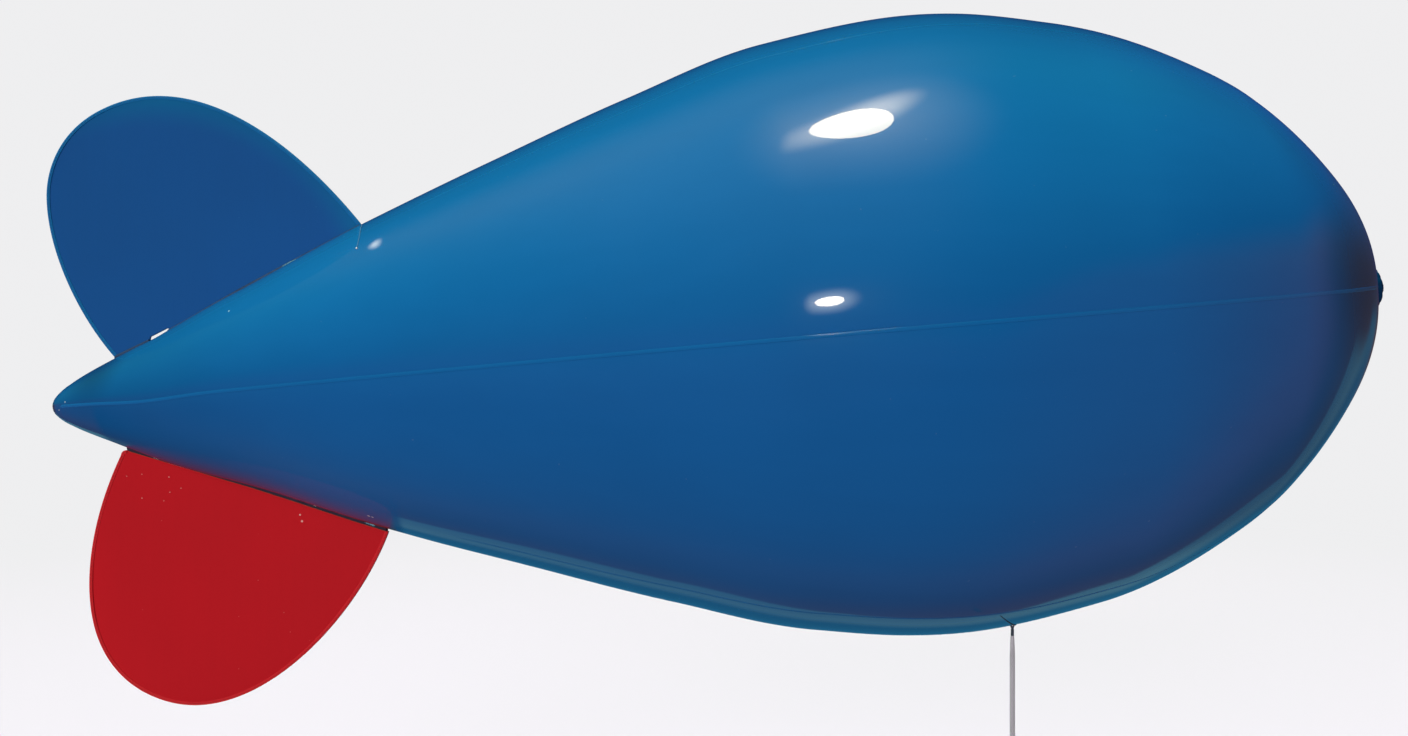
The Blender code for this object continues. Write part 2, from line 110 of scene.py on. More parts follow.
# The neck's gathered end: distance beyond the tie, and radius
TUFT = (
    (0.0025, 0.0165), (0.0040, 0.0220), (0.0060, 0.0257), (0.0085, 0.0270), (0.0110, 0.0261),
    (0.0132, 0.0230), (0.0152, 0.0176), (0.0168, 0.0099), (0.0175, 0.0000),
)
PLEATS = 17
BELLY_PATCH = 0.090

# Fins: node, side, slot, the root line's ends, then three spans of the free edge
FIN_THICK = 0.008
EDGE_WIDE = 0.009
EDGE_THICK = 0.0098
CORNER = 0.012  # of the bottom fin, aft at its root
TOP_FIN = (
    "top_fin", 1, "blue_fin", ((0.162, 0.1134), (0.812, 0.3858)),
    (
        ((0.000, 0.000), (-0.032, 0.136), (-0.021, 0.316), (0.038, 0.431)),
        ((0.038, 0.431), (0.072, 0.498), (0.146, 0.562), (0.255, 0.562)),
        ((0.255, 0.562), (0.508, 0.562), (0.649, 0.288), (0.704, 0.000)),
    ),
)
BOTTOM_FIN = (
    "bottom_fin", -1, "red_fin", ((0.162, 0.1264), (0.810, 0.3870)),
    (
        ((0.000, 0.000), (-0.031, 0.191), (0.002, 0.344), (0.051, 0.431)),
        ((0.051, 0.431), (0.079, 0.482), (0.146, 0.570), (0.284, 0.570)),
        ((0.284, 0.570), (0.517, 0.570), (0.683, 0.240), (0.698, 0.000)),
    ),
)
# The bar under the top fin, where one sees through: start and end along the root
BAR = (0.099, 0.151)
# Root strips: node, fin, start and end along the root
ROOT_STRIPS = (
    ("top_fin_strip_aft", TOP_FIN, 0.004, BAR[0]),
    ("top_fin_strip_fore", TOP_FIN, 0.152, 0.700),
    ("bottom_fin_strip", BOTTOM_FIN, 0.013, 0.693),
)
STRIP_HALF = 0.010
STRIP_STEPS = 120
# A strip's outline: share of its half width, and share of its height
STRIP_OUTLINE = (
    (-1.0, 0.0), (-0.6, 0.0), (-0.2, 0.0), (0.2, 0.0), (0.6, 0.0), (1.0, 0.0), (1.0, 0.45),
    (0.93, 0.8), (0.75, 0.97), (0.4, 1.0), (-0.4, 1.0), (-0.75, 0.97), (-0.93, 0.8), (-1.0, 0.45),
)
# Worn ends of tape on the root strips: fin, start and end along the root, the share of the strip's height
# from its lower to its upper side, finish
TAPE_ENDS = (
    (TOP_FIN, 0.481, 0.521, 0.55, 0.98, "blue_tape"),
    (BOTTOM_FIN, 0.080, 0.098, 0.25, 0.60, "pale_tape"),
    (BOTTOM_FIN, 0.122, 0.179, 0.68, 1.02, "pale_tape"),
    (BOTTOM_FIN, 0.500, 0.511, 0.10, 0.55, "pale_tape"),
    (BOTTOM_FIN, 0.636, 0.664, 0.30, 0.80, "blue_tape"),
)
# A loose thread from the top fin's fore corner down the hull to its knot: station and angle in degrees
LOOSE_THREAD = (
    (0.853, 68.5), (0.857, 64.5), (0.863, 59.8), (0.868, 55.4), (0.870, 53.2), (0.872, 50.0), (0.873, 47.4),
)
# Specks of dust and paint: where, and the radius
HULL_SPECKS = (
    ((-1.468, -0.180, 0.049), 0.0026),
    ((-1.129, -0.181, -0.435), 0.0048),
    ((-1.138, -0.181, -0.433), 0.0048),
    ((-1.923, -0.058, -0.169), 0.0026),
    ((-1.945, -0.043, -0.189), 0.0026),
)
FIN_SPECKS = (
    ((-1.798, 0.0, -0.357), 0.0014),
    ((-1.760, 0.0, -0.352), 0.0013),
    ((-1.692, 0.0, -0.359), 0.0018),
    ((-1.662, 0.0, -0.387), 0.0015),
    ((-1.690, 0.0, -0.397), 0.0017),
    ((-1.760, 0.0, -0.412), 0.0016),
    ((-1.705, 0.0, -0.419), 0.0013),
    ((-1.363, 0.0, -0.454), 0.0030),
    ((-1.358, 0.0, -0.470), 0.0036),
)
# Painted shade on the hull by its tail and by its nose: where it centres, and its colour
TAIL_SHADE = (-1.850, -0.065, -0.085)
NOSE_SHADE = (1.074, -0.402, 0.100)
SHADE = (0.004, 0.006, 0.020)
# Painted light on the top fin, lighter and greener along its rim: the centre of that round, and where it
# comes in
FIN_PAINTED_LIGHT_CENTRE = (-1.734, 0.0, 0.010)
FIN_PAINTED_LIGHT_REACH = (0.50, 0.63)

# Tether, down from its pivot under the belly
TETHER_STATION = 2.350
PIVOT_DROP = 0.018
LOOP_CORD = 0.0025
LOOP_HALF = 0.011
EYE_WIRE = 0.0025
WHIPPING_RADIUS = 0.004
TAPER_LENGTH = 0.050
ROPE_RADIUS = 0.00625
SLEEVE_RADIUS = 0.009
LOW_EYE_WIRE = 0.0035
LOW_EYE_RADIUS = 0.0120
LINK_BAR = 0.006
STRANDS = 8  # of each hand
STRAND_STEPS = 26  # for each turn
YARN_RADIUS = 0.00155

# Camera and floor
CAMERA_PLACE = (-0.3485, -2.857, -0.0853)
CAMERA_LENS = 29.05
FLOOR_HEIGHT = -1.55
FLOOR_SIZE = 180.0

# Broad lights: name, where it comes from, what white it makes of a white wall, softness
BROAD_LIGHTS = (
    ("key", (-0.172, -0.026, 0.985), (1.05, 1.64, 0.98), 0.28),
    ("fill", (-0.406, -0.911, 0.010), (0.867, 0.867, 0.867), 1.05),
    ("back_fill", (0.62, 0.76, 0.12), (0.40, 0.40, 0.40), 0.25),
)
# Lamps that the film mirrors: name, point on the film, its mirror direction, distance, long axis, length,
# width, brightness, colour, share of the radius that is full
MIRRORED_LAMPS = (
    ("large_lamp", (-0.057, -0.619, 0.397), (-0.122, -0.230, 0.966), 7.0, (0.035, 0.999, 0.0),
     1.75, 1.24, 36.0, (1.0, 0.86, 0.60), 0.97),
    ("large_lamp_glow", (-0.067, -0.618, 0.396), (-0.104, -0.182, 0.978), 7.0, (0.674, 0.738, 0.0),
     3.90, 1.70, 15.0, (1.0, 0.86, 0.62), 0.15),
    ("large_lamp_halo", (0.000, -0.636, 0.388), (-0.078, -0.285, 0.955), 7.0, (0.035, 0.999, 0.0),
     8.20, 6.60, 2.2, (1.0, 0.94, 0.70), 0.00),
    ("small_lamp", (-0.111, -0.717, 0.041), (-0.190, -0.977, 0.101), 3.2, (0.0, 0.0, 1.0),
     0.213, 0.176, 80.0, (1.0, 0.92, 0.76), 0.92),
    ("small_lamp_glow", (-0.111, -0.717, 0.041), (-0.190, -0.977, 0.101), 3.2, (0.0, 0.0, 1.0),
     0.66, 0.48, 16.0, (0.95, 1.0, 0.95), 0.00),
    ("rear_lamp", (-1.091, -0.294, 0.192), (-0.636, 0.385, 0.669), 7.0, (-0.330, -0.925, 0.175),
     1.50, 0.17, 6.5, (1.0, 0.98, 0.85), 0.00),
)

# From the hull's frame to the balloon's, and the same for the neck
PLACED = Matrix.Rotation(-PITCH, 4, "Y") @ Matrix.Translation((-HOLD_STATION, 0.0, 0.0))
NECK_PLACED = PLACED @ Matrix.Translation((0.0, 0.0, NECK_RISE))
UNMOVED = Matrix.Identity(4)


def studio():
    """The add-on's settings."""
    return bpy.context.scene.blimp


# Node trees


class Term:
    """The output of a node, as a value that Python's own operators work on."""

    def __init__(self, board, socket):
        self.board = board
        self.socket = socket

    def __neg__(self):
        return self * -1.0

    def __abs__(self):
        return self.board.maths("ABSOLUTE", self)


def teach(name, operation):
    """Gives terms one of Python's operators, from either side."""
    setattr(Term, "__" + name + "__", lambda one, two: one.board.maths(operation, one, two))
    setattr(Term, "__r" + name + "__", lambda one, two: one.board.maths(operation, two, one))


teach("add", "ADD")
teach("sub", "SUBTRACT")
teach("mul", "MULTIPLY")
teach("truediv", "DIVIDE")
teach("pow", "POWER")
teach("mod", "FLOORED_MODULO")


class Board:
    """A node tree that is being filled in."""

    def __init__(self, tree):
        self.tree = tree
        self.given = {}

    def feed(self, socket, value):
        """Links a term to a socket, or sets the socket's own value."""
        if isinstance(value, Term):
            self.tree.links.new(value.socket, socket)
            return
        if socket.type == "RGBA" and len(value) == 3:
            value = (*value, 1.0)
        socket.default_value = value

    def make(self, kind, settings=None, inputs=None):
        """Makes a node: first its settings, then its sockets' values or links."""
        node = self.tree.nodes.new(kind)
        for name, value in (settings or {}).items():
            setattr(node, name, value)
        for name, value in (inputs or {}).items():
            self.feed(node.inputs[name], value)
        return node

    def term(self, kind, settings=None, inputs=None, output=0):
        """The same, and gives one of the node's outputs."""
        return Term(self, self.make(kind, settings, inputs).outputs[output])

    def shape(self, kind, settings=None, **inputs):
        """A geometry node's output, from inputs by name, with an underscore for a space."""
        inputs = {name.replace("_", " "): value for name, value in inputs.items()}
        return self.term("GeometryNode" + kind, settings, inputs)

    def maths(self, operation, *values):
        return self.term("ShaderNodeMath", {"operation": operation}, dict(enumerate(values)))

    def least(self, one, other):
        return self.maths("MINIMUM", one, other)

    def most(self, one, other):
        return self.maths("MAXIMUM", one, other)

    def span(self, one, other):
        """The length of two parts that are square to each other."""
        return self.maths("SQRT", one * one + other * other)

    def hump(self, value):
        """One at nought, falling off smoothly on both sides."""
        return self.maths("EXPONENT", -(value * value))

    def step(self, value, low, high):
        """Nought under low, one over high, smooth between."""
        inputs = {"Value": value, "From Min": low, "From Max": high}
        return self.term("ShaderNodeMapRange", {"interpolation_type": "SMOOTHSTEP"}, inputs)

    def blend(self, share, first, second):
        """Between two colours."""
        return self.term("ShaderNodeMix", {"data_type": "RGBA"}, {0: share, 6: first, 7: second}, 2)

    def vector(self, x, y, z):
        return self.term("ShaderNodeCombineXYZ", None, {0: x, 1: y, 2: z})

    def parts(self, vector):
        node = self.make("ShaderNodeSeparateXYZ", None, {0: vector})
        return [Term(self, node.outputs[i]) for i in range(3)]

    def stretched(self, place, scale):
        """The place with each of its parts multiplied."""
        return self.term("ShaderNodeVectorMath", {"operation": "MULTIPLY"}, {0: place, 1: scale})

    def apart(self, place, centre):
        """The distance from a point."""
        return self.term("ShaderNodeVectorMath", {"operation": "DISTANCE"}, {0: place, 1: centre}, 1)

    def grain(self, place, scale, detail=2.0):
        """A noise from nought to one."""
        return self.term("ShaderNodeTexNoise", None, {"Vector": place, "Scale": scale, "Detail": detail})

    def sine(self, value):
        return self.maths("SINE", value)

    def cosine(self, value):
        return self.maths("COSINE", value)

    def moved(self, geometry, place):
        return self.shape("SetPosition", Geometry=geometry, Position=place)

    def marked(self, geometry, name, value):
        """Geometry that carries a number under a name."""
        return self.shape("StoreNamedAttribute", Geometry=geometry, Name=name, Value=value)

    def swept(self, curve, section):
        """A section drawn along a curve."""
        return self.shape("CurveToMesh", Curve=curve, Profile_Curve=section, Fill_Caps=True)

    def copies(self, count, shape, turn):
        """Copies of a shape, each turned about the origin."""
        line = self.shape("MeshLine", Count=count, Offset=(0.0, 0.0, 0.0))
        ring = self.shape("InstanceOnPoints", Points=line, Instance=shape, Rotation=turn)
        return self.shape("RealizeInstances", Geometry=ring)

    def together(self, parts):
        both = self.make("GeometryNodeJoinGeometry")
        for part in parts:
            self.tree.links.new(part.socket, both.inputs[0])
        return Term(self, both.outputs[0])

    def close(self, geometry, own=None):
        """Ends a tree: real geometry, smooth shading and its finish, unless its parts have theirs."""
        real = self.shape("RealizeInstances", Geometry=geometry)
        whole = self.shape("SetShadeSmooth", Geometry=real, Shade_Smooth=True)
        if own:
            whole = self.shape("SetMaterial", Geometry=whole, Material=finish(own))
        self.make("NodeGroupOutput", None, {0: whole})


def tree_of(name, **numbers):
    """A geometry tree with a mesh input, these named numbers as inputs and a mesh output."""
    tree = bpy.data.node_groups.new(name, "GeometryNodeTree")
    tree.interface.new_socket("Geometry", in_out="INPUT", socket_type="NodeSocketGeometry")
    for label, value in numbers.items():
        kind = "NodeSocketInt" if isinstance(value, int) else "NodeSocketFloat"
        tree.interface.new_socket(label, in_out="INPUT", socket_type=kind).default_value = value
    tree.interface.new_socket("Geometry", in_out="OUTPUT", socket_type="NodeSocketGeometry")
    board = Board(tree)
    for socket in tree.nodes.new("NodeGroupInput").outputs[:-1]:
        board.given[socket.name] = Term(board, socket)
    return board


def link(name, mesh):
    made = bpy.data.objects.new(name, mesh)
    bpy.context.scene.collection.objects.link(made)
    return made


def grown(name, start, board, **numbers):
    """A plain mesh object made by this tree from a starting mesh, with these values for its inputs."""
    holder = link(name + "_start", start)
    modifier = holder.modifiers.new("rule", "NODES")
    modifier.node_group = board.tree
    for item in board.tree.interface.items_tree:
        if item.in_out == "INPUT" and item.name in numbers:
            modifier[item.identifier] = numbers[item.name]
    state = bpy.context.evaluated_depsgraph_get()
    mesh = bpy.data.meshes.new_from_object(holder.evaluated_get(state))
    holder.modifiers.remove(modifier)
    bpy.data.objects.remove(holder)
    mesh.name = name
    if not len(mesh.polygons):
        raise RuntimeError(name + " has no faces")
    return link(name, mesh)


# Materials


def blank(name):
    """A new material with its board, its shader and the place on the object."""
    made = bpy.data.materials.new(name)
    made.use_nodes = True
    board = Board(made.node_tree)
    return made, board, made.node_tree.nodes["Principled BSDF"], board.term("ShaderNodeTexCoord", output=3)


def toned(colour, share, more=0.0):
    return tuple(min(value * share + more, 1.0) for value in colour)


def dress(board, shader, tone, roughness, height, strength, deep):
    """Gives a shader its colour, its roughness and its fine relief."""
    relief = board.term("ShaderNodeBump", None, {"Height": height, "Strength": strength, "Distance": deep})
    for name, value in (("Base Color", tone), ("Roughness", roughness), ("Normal", relief)):
        board.feed(shader.inputs[name], value)


def specks(board, place, spots):
    """One inside these small round spots, nought outside them."""
    whole = 0.0
    for centre, radius in spots:
        whole = board.most(board.step(board.apart(place, centre), radius, radius * 0.5), whole)
    return whole


def hull_painted_light_and_specks(board, place, tone):
    """The hull's tone with painted reflections, painted shade and specks, and the share of its coat that
    they leave.
    """
    x, across, z = board.parts(place)
    station = x * cos(PITCH) + z * sin(PITCH) + HOLD_STATION
    rise = z * cos(PITCH) - x * sin(PITCH)
    height = board.most(0.977 * board.span(across, rise) + rise, 0.0)
    fore = station - 0.23 * abs(across)
    # Painted reflection of the bottom fin: red painted on the film above it, where the coat is turned down
    behind = board.step(station, 0.135, 0.165) * board.step(rise, 0.0, -0.02)
    window = behind * board.step(fore, 0.838, 0.827)
    reach = 0.009 + 0.014 * board.step(station, 0.14, 0.36)
    painted_fin_reflection = board.maths("EXPONENT", -((height + 0.003) / reach)) * window
    dull = board.step(height, 0.143, 0.053) * behind * board.step(fore, 0.860, 0.838)
    tone = board.blend(painted_fin_reflection * 0.67, tone, (0.142, 0.012, 0.002))
    # Painted shade in the corner by that fin's fore end
    wedge = board.most((fore - 0.60) * 0.060, 0.0)
    close = board.step(height - wedge, 0.0015, -0.0015) * window * board.step(fore, 0.60, 0.66)
    tone = board.blend(close, tone, (0.032, 0.036, 0.058))
    # Painted shade by the nose and towards the tail
    tone = board.blend(board.step(board.apart(place, NOSE_SHADE), 0.26, 0.02) * 0.46, tone, SHADE)
    tone = board.blend(board.step(station, 0.80, 0.05) * 0.24, tone, (0.0, 0.0, 0.0))
    tone = board.blend(board.step(board.apart(place, TAIL_SHADE), 0.12, 0.01) * 0.42, tone, SHADE)
    # The tail tip's lower side painted dark red, a painted reflection of the bottom fin, with less coat
    # there; and specks
    tip = board.step(station, 0.024, 0.008) * board.step(rise, 0.016, 0.0)
    tone = board.blend(tip * 0.85, tone, (0.045, 0.010, 0.014))
    tone = board.blend(specks(board, place, HULL_SPECKS), tone, (0.42, 0.48, 0.55))
    return tone, (1 - 0.92 * dull) * (1 - 0.6 * tip)


def film(name, colour, roughness=0.26, coat=1.0):
    """Glossy balloon film: a soft base under a thin clear coat, with faint clouds, streaks and dust."""
    made, board, shader, place = blank(name)
    clouds = board.grain(place, 3.2, 3.0)
    streaks = board.grain(board.stretched(place, (1.6, 26.0, 26.0)), 1.0)
    share = board.step(clouds * 0.6 + streaks * 0.4, 0.30, 0.70)
    tone = board.blend(share, toned(colour, 0.98), toned(colour, 1.02, 0.0002))
    dust = board.step(board.grain(place, 95.0, 1.0), 0.80, 0.84) * 0.10
    tone = board.blend(dust, tone, (0.30, 0.36, 0.42))
    settings = studio()
    weight = settings.film_coat * coat
    # The hull's film also takes painted reflections of the bottom fin and painted shade
    if name == "hull_film":
        tone, left = hull_painted_light_and_specks(board, place, tone)
        weight = weight * left
    height = board.grain(place, 620.0, 1.0) * 0.5 + board.grain(place, 190.0)
    dress(board, shader, tone, roughness + 0.06 * (clouds - 0.5) + dust, height, 0.10, 0.0004)
    board.feed(shader.inputs["Coat Weight"], weight)
    shader.inputs["Specular IOR Level"].default_value = settings.film_sheen
    shader.inputs["Coat Roughness"].default_value = 0.015
    shader.inputs["Coat IOR"].default_value = settings.film_ior
    return made


def fin_film(name, colour, pale_speck, spots=()):
    """Satin fin sheet: faint roller marks, handling marks and scattered specks of dust."""
    made, board, shader, place = blank(name)
    clouds = board.grain(place, 5.0, 3.0)
    rolled = board.grain(board.stretched(place, (90.0, 90.0, 3.0)), 1.0, 1.0)
    fine = board.grain(place, 320.0, 1.0)
    share = board.step(clouds * 0.5 + rolled * 0.15 + fine * 0.35, 0.3, 0.7)
    tone = board.blend(share, toned(colour, 0.97), toned(colour, 1.03))
    # Painted light: the top fin's sheet lighter and greener towards its rim
    if name == "top_fin_sheet":
        rim = (colour[0] * 0.1, colour[1] * 1.8, colour[2] * 1.12)
        tone = board.blend(board.step(board.apart(place, FIN_PAINTED_LIGHT_CENTRE), *FIN_PAINTED_LIGHT_REACH), tone, rim)
    cells = {"Vector": place, "Scale": 62.0, "Randomness": 1.0}
    near, pick = [board.term("ShaderNodeTexVoronoi", {"feature": "F1"}, cells, i) for i in (0, 1)]
    fleck = board.step(near, 0.10, 0.05) * board.step(board.parts(pick)[0], 0.95, 0.97) * 0.4
    if spots:
        fleck = board.most(fleck, specks(board, board.stretched(place, (1.0, 0.0, 1.0)), spots))
    tone = board.blend(fleck * 0.75, tone, pale_speck)
    roughness = 0.36 + 0.10 * (clouds - 0.5) + 0.2 * fleck
    dress(board, shader, tone, roughness, fine + 2.0 * fleck, 0.12, 0.0003)
    shader.inputs["Specular IOR Level"].default_value = 0.08
    return made


def woven(name, colour, pitch, roughness=0.8):
    """Cloth tape and cord covers: a fine over-and-under weave with worn high threads."""
    made, board, shader, place = blank(name)
    x, y, z = board.parts(place)
    turn = tau / pitch
    weave = board.sine((x + y + z) * turn) * board.sine((x + y - z) * turn) * 0.5 + 0.5
    wear = board.grain(place, 60.0, 3.0)
    share = board.step(weave * 0.6 + wear * 0.4, 0.2, 0.8)
    tone = board.blend(share, toned(colour, 0.55), toned(colour, 1.5, 0.01))
    dress(board, shader, tone, roughness + 0.1 * (wear - 0.5), weave + 0.4 * wear, 0.5, 0.0003)
    return made


def yarn(name, colour):
    """Rope yarn: fine fibres along the strand and painted shade in the grooves, from the strand's own
    attributes.
    """
    made, board, shader, place = blank(name)
    run, crown = [
        board.term("ShaderNodeAttribute", {"attribute_name": label}, output=2) for label in ("run", "crown")
    ]
    fibre = board.sine(run * 5200.0 + board.grain(place, 900.0, 1.0) * 6.0) * 0.5 + 0.5
    patch = board.grain(place, 42.0, 3.0)
    # Painted shade: the yarn darker where it lies deep in the grooves, full colour on the crown
    share = board.step(crown, 0.15, 0.85) * 0.75 + fibre * 0.10 + patch * 0.25
    tone = board.blend(share, toned(colour, 0.22), colour)
    dress(board, shader, tone, 0.78 + 0.15 * (patch - 0.5), fibre, 0.35, 0.0002)
    return made


def metal(name, colour):
    """Satin steel with fine draw marks and dull spots."""
    made, board, shader, place = blank(name)
    marks = board.grain(board.stretched(place, (40.0, 40.0, 900.0)), 1.0)
    spots = board.grain(place, 160.0, 3.0)
    tone = board.blend(board.step(spots, 0.42, 0.62), colour, toned(colour, 0.72))
    roughness = 0.24 + 0.16 * marks + 0.15 * board.step(spots, 0.55, 0.7)
    dress(board, shader, tone, roughness, marks, 0.15, 0.0002)
    shader.inputs["Metallic"].default_value = 1.0
    return made


FINISHES = {}


def finish(name):
    """One of the object's materials, made when it is first asked for."""
    if name in FINISHES:
        return FINISHES[name]
    settings = studio()
    blue = tuple(settings.film_blue)
    makers = {
        "hull_film": (film, blue),
        "weld_film": (film, tuple(settings.weld_blue), 0.34),
        "patch_film": (film, toned(blue, 0.8), 0.36),
        "neck_film": (film, toned(blue, 0.27), 0.42, 0.20),
        "top_fin_sheet": (fin_film, tuple(settings.fin_blue), (0.06, 0.22, 0.38)),
        "top_fin_binding": (fin_film, (0.0060, 0.125, 0.330), (0.1, 0.3, 0.4)),
        "bottom_fin_sheet": (fin_film, tuple(settings.fin_red), (0.80, 0.42, 0.38), FIN_SPECKS),
        "bottom_fin_binding": (fin_film, (0.575, 0.018, 0.025), (0.7, 0.3, 0.3)),
        "dark_tape": (woven, (0.022, 0.016, 0.036), 0.0022),
        "navy_tape": (woven, (0.012, 0.033, 0.095), 0.0022),
        "piping": (woven, (0.22, 0.060, 0.025), 0.0016),
        "pale_tape": (woven, (0.40, 0.37, 0.34), 0.0014, 0.5),
        "blue_tape": (woven, (0.11, 0.25, 0.33), 0.0014, 0.5),
        "dark_cord": (woven, (0.045, 0.055, 0.085), 0.0016),
        "knot": (woven, (0.90, 0.60, 0.72), 0.0012),
        "pale_thread": (woven, (0.070, 0.135, 0.33), 0.0008),
        "top_fin_thread": (woven, (0.0060, 0.080, 0.240), 0.0008),
        "bottom_fin_thread": (woven, (0.380, 0.010, 0.012), 0.0008),
        "rope_yarn": (yarn, tuple(settings.rope)),
        "link_steel": (metal, (0.56, 0.56, 0.58)),
    }
    maker, *inputs = makers[name]
    FINISHES[name] = maker(name, *inputs)
    return FINISHES[name]


# Shapes


def hull_radius(station):
    """The radius at a station, from a monotone cubic through the squares, which makes both ends round."""
    xs, ys = zip(*[(x, radius**2) for x, radius in HULL_SECTIONS])
    steps = [two - one for one, two in zip(xs, xs[1:])]
    rises = [(two - one) / step for one, two, step in zip(ys, ys[1:], steps)]
    slopes = [rises[0]]
    for i in range(1, len(steps)):
        before = 2 * steps[i] + steps[i - 1]
        after = steps[i] + 2 * steps[i - 1]
        level = rises[i - 1] * rises[i] <= 0
        slopes.append(0.0 if level else (before + after) / (before / rises[i - 1] + after / rises[i]))
    slopes.append(rises[-1])
    i = 0
    while i < len(steps) - 1 and station > xs[i + 1]:
        i += 1
    t = (station - xs[i]) / steps[i]
    square = (1 + 2 * t) * (1 - t) ** 2 * ys[i] + t * (1 - t) ** 2 * steps[i] * slopes[i]
    square += t * t * (3 - 2 * t) * ys[i + 1]
    square += t * t * (t - 1) * steps[i] * slopes[i + 1]
    return sqrt(max(square, 0.0))


def hull_normal(station):
    """The outward normal of the meridian, as its parts along and square to the axis."""
    low = max(station - 0.0005, 0.0)
    high = min(station + 0.0005, HULL_LENGTH)
    slope = (hull_radius(high) - hull_radius(low)) / (high - low)
    size = hypot(1.0, slope)
    return -slope / size, 1.0 / size


def lifted(station, lift):
    """The meridian at a station, raised by this much: distance along the axis, and radius."""
    along, out = hull_normal(station)
    return station + lift * along, hull_radius(station) + lift * out


def swell_at(angle):
    wave = hypot(sin(GORES / 2 * angle), SEAM_EASE * sin(angle))
    return 1 + studio().gore_swell * (wave - SWELL_MIDDLE)


def hull_point(station, angle, lift):
    """A point over the hull's skin in the hull's frame."""
    along, out = hull_normal(station)
    radius = hull_radius(station) * swell_at(angle) + lift * out
    return Vector((station + lift * along, -radius * cos(angle), radius * sin(angle)))


def on_hull(station, angle, lift):
    """The same in the balloon's frame."""
    return PLACED @ hull_point(station, angle, lift)


def pivot_point():
    belly = on_hull(TETHER_STATION, BELLY, 0.0)
    return Vector((belly.x, 0.0, belly.z - PIVOT_DROP))


def droop(station):
    depth, middle, reach = DROOP
    return depth * exp(-(((station - middle) / reach) ** 2))


def swelled(board, place, swell):
    """The hull's points moved out or in by the gores' swell."""
    x, y, z = board.parts(place)
    rise = z / (board.span(y, z) + TINY)
    triple = 3.0 * rise - 4.0 * rise * rise * rise
    wave = board.maths("SQRT", triple * triple + SEAM_EASE**2 * rise * rise)
    size = 1.0 + swell * (wave - SWELL_MIDDLE)
    return board.vector(x, y * size, z * size)


def hung(board, place):
    """The hull's points after its sag at the side seams, the tail, the nose and the belly."""
    x, y, z = board.parts(place)
    across = y / (board.span(y, z) + TINY)
    sag = SAG_TAIL + SAG_NOSE * (x / HULL_LENGTH) ** 3.0
    turn = sag * across * across * across
    along = board.cosine(turn)
    aside = board.sine(turn)
    depth, middle, reach = DROOP
    fall = depth * board.hump((x - middle) / reach)
    share, reach = NOSE_FLAT
    fall = fall + share * board.most(z, 0.0) * board.step(x, *reach)
    share, start, end = BELLY_RISE
    lift = board.step(x, *start) * board.step(x, *end)
    fall = fall + share * board.most(-z, 0.0) * -lift
    return board.vector(x, y * along + z * aside, z * along - y * aside - fall)


def settled(board, whole, place, push):
    """Points of the hull pushed outwards by this much, hung, and turned into the balloon's frame."""
    _, y, z = board.parts(place)
    size = board.span(y, z) + SMALL
    shift = board.vector(0.0, y / size * push, z / size * push)
    whole = board.shape("SetPosition", Geometry=whole, Offset=shift)
    whole = board.moved(whole, hung(board, place))
    origin = PLACED.to_translation()
    return board.shape("Transform", Geometry=whole, Translation=origin, Rotation=(0.0, -PITCH, 0.0))


def meridian(start, end, rows):
    """A line of points, as station and radius, that bunch up towards the hull's ends."""
    first, last = [acos(1 - 2 * station / HULL_LENGTH) for station in (start, end)]
    stations = [HULL_LENGTH * (1 - cos(first + (last - first) * i / (rows - 1))) / 2 for i in range(rows)]
    return path_mesh([(station, 0.0, hull_radius(station)) for station in stations])


def path_mesh(points):
    """Points joined in a line."""
    mesh = bpy.data.meshes.new("path")
    mesh.from_pydata(points, [(i, i + 1) for i in range(len(points) - 1)], [])
    return mesh


def turns(count):
    """The angles of a full turn in this many steps."""
    return [tau * i / count for i in range(count)]


def meshed(name, made, *finishes):
    """A linked object from a mesh that is being built."""
    mesh = bpy.data.meshes.new(name)
    made.to_mesh(mesh)
    made.free()
    for own in finishes:
        mesh.materials.append(own)
    return link(name, mesh)


def skinned(name, made, own, sharp=None):
    """The same with its faces outwards and smooth, but for edges over this angle."""
    bmesh.ops.recalc_face_normals(made, faces=made.faces)
    shown = meshed(name, made, finish(own))
    shown.data.shade_smooth()
    if sharp:
        shown.data.set_sharp_from_angle(angle=radians(sharp))
    return shown


def shell(name, rings, own, sharp=35, matrix=PLACED):
    """A skin over rings of points, with a point instead of a ring where the ends close."""
    made = bmesh.new()
    rows = [[made.verts.new(matrix @ Vector(point)) for point in ring] for ring in rings]
    for one, two in zip(rows, rows[1:]):
        count = max(len(one), len(two))
        for i in range(count):
            k = (i + 1) % count
            corners = [one[i % len(one)], two[i % len(two)], two[k % len(two)], one[k % len(one)]]
            face = list(dict.fromkeys(corners))
            if len(face) > 2:
                made.faces.new(face)
    for ring in (rows[0], rows[-1]):
        if len(ring) > 2:
            made.faces.new(ring)
    return skinned(name, made, own, sharp)


def turned_rings(profile, steps, change=None):
    """Rings about the X axis from points as distance along it and radius."""
    rings = []
    for row, (along, radius) in enumerate(profile):
        if radius == 0:
            rings.append([(along, 0.0, 0.0)])
            continue
        ring = []
        for turn in turns(steps):
            size = change(row, along, radius, turn) if change else radius
            ring.append((along, -size * cos(turn), size * sin(turn)))
        rings.append(ring)
    return rings


def joined(name, pieces):
    """Several mesh objects as one, with their materials."""
    made = bmesh.new()
    finishes = []
    for piece in pieces:
        start = len(made.faces)
        made.from_mesh(piece.data)
        made.faces.ensure_lookup_table()
        for face in made.faces[start:]:
            own = piece.data.materials[face.material_index]
            if own not in finishes:
                finishes.append(own)
            face.material_index = finishes.index(own)
        bpy.data.objects.remove(piece)
    return meshed(name, made, *finishes)


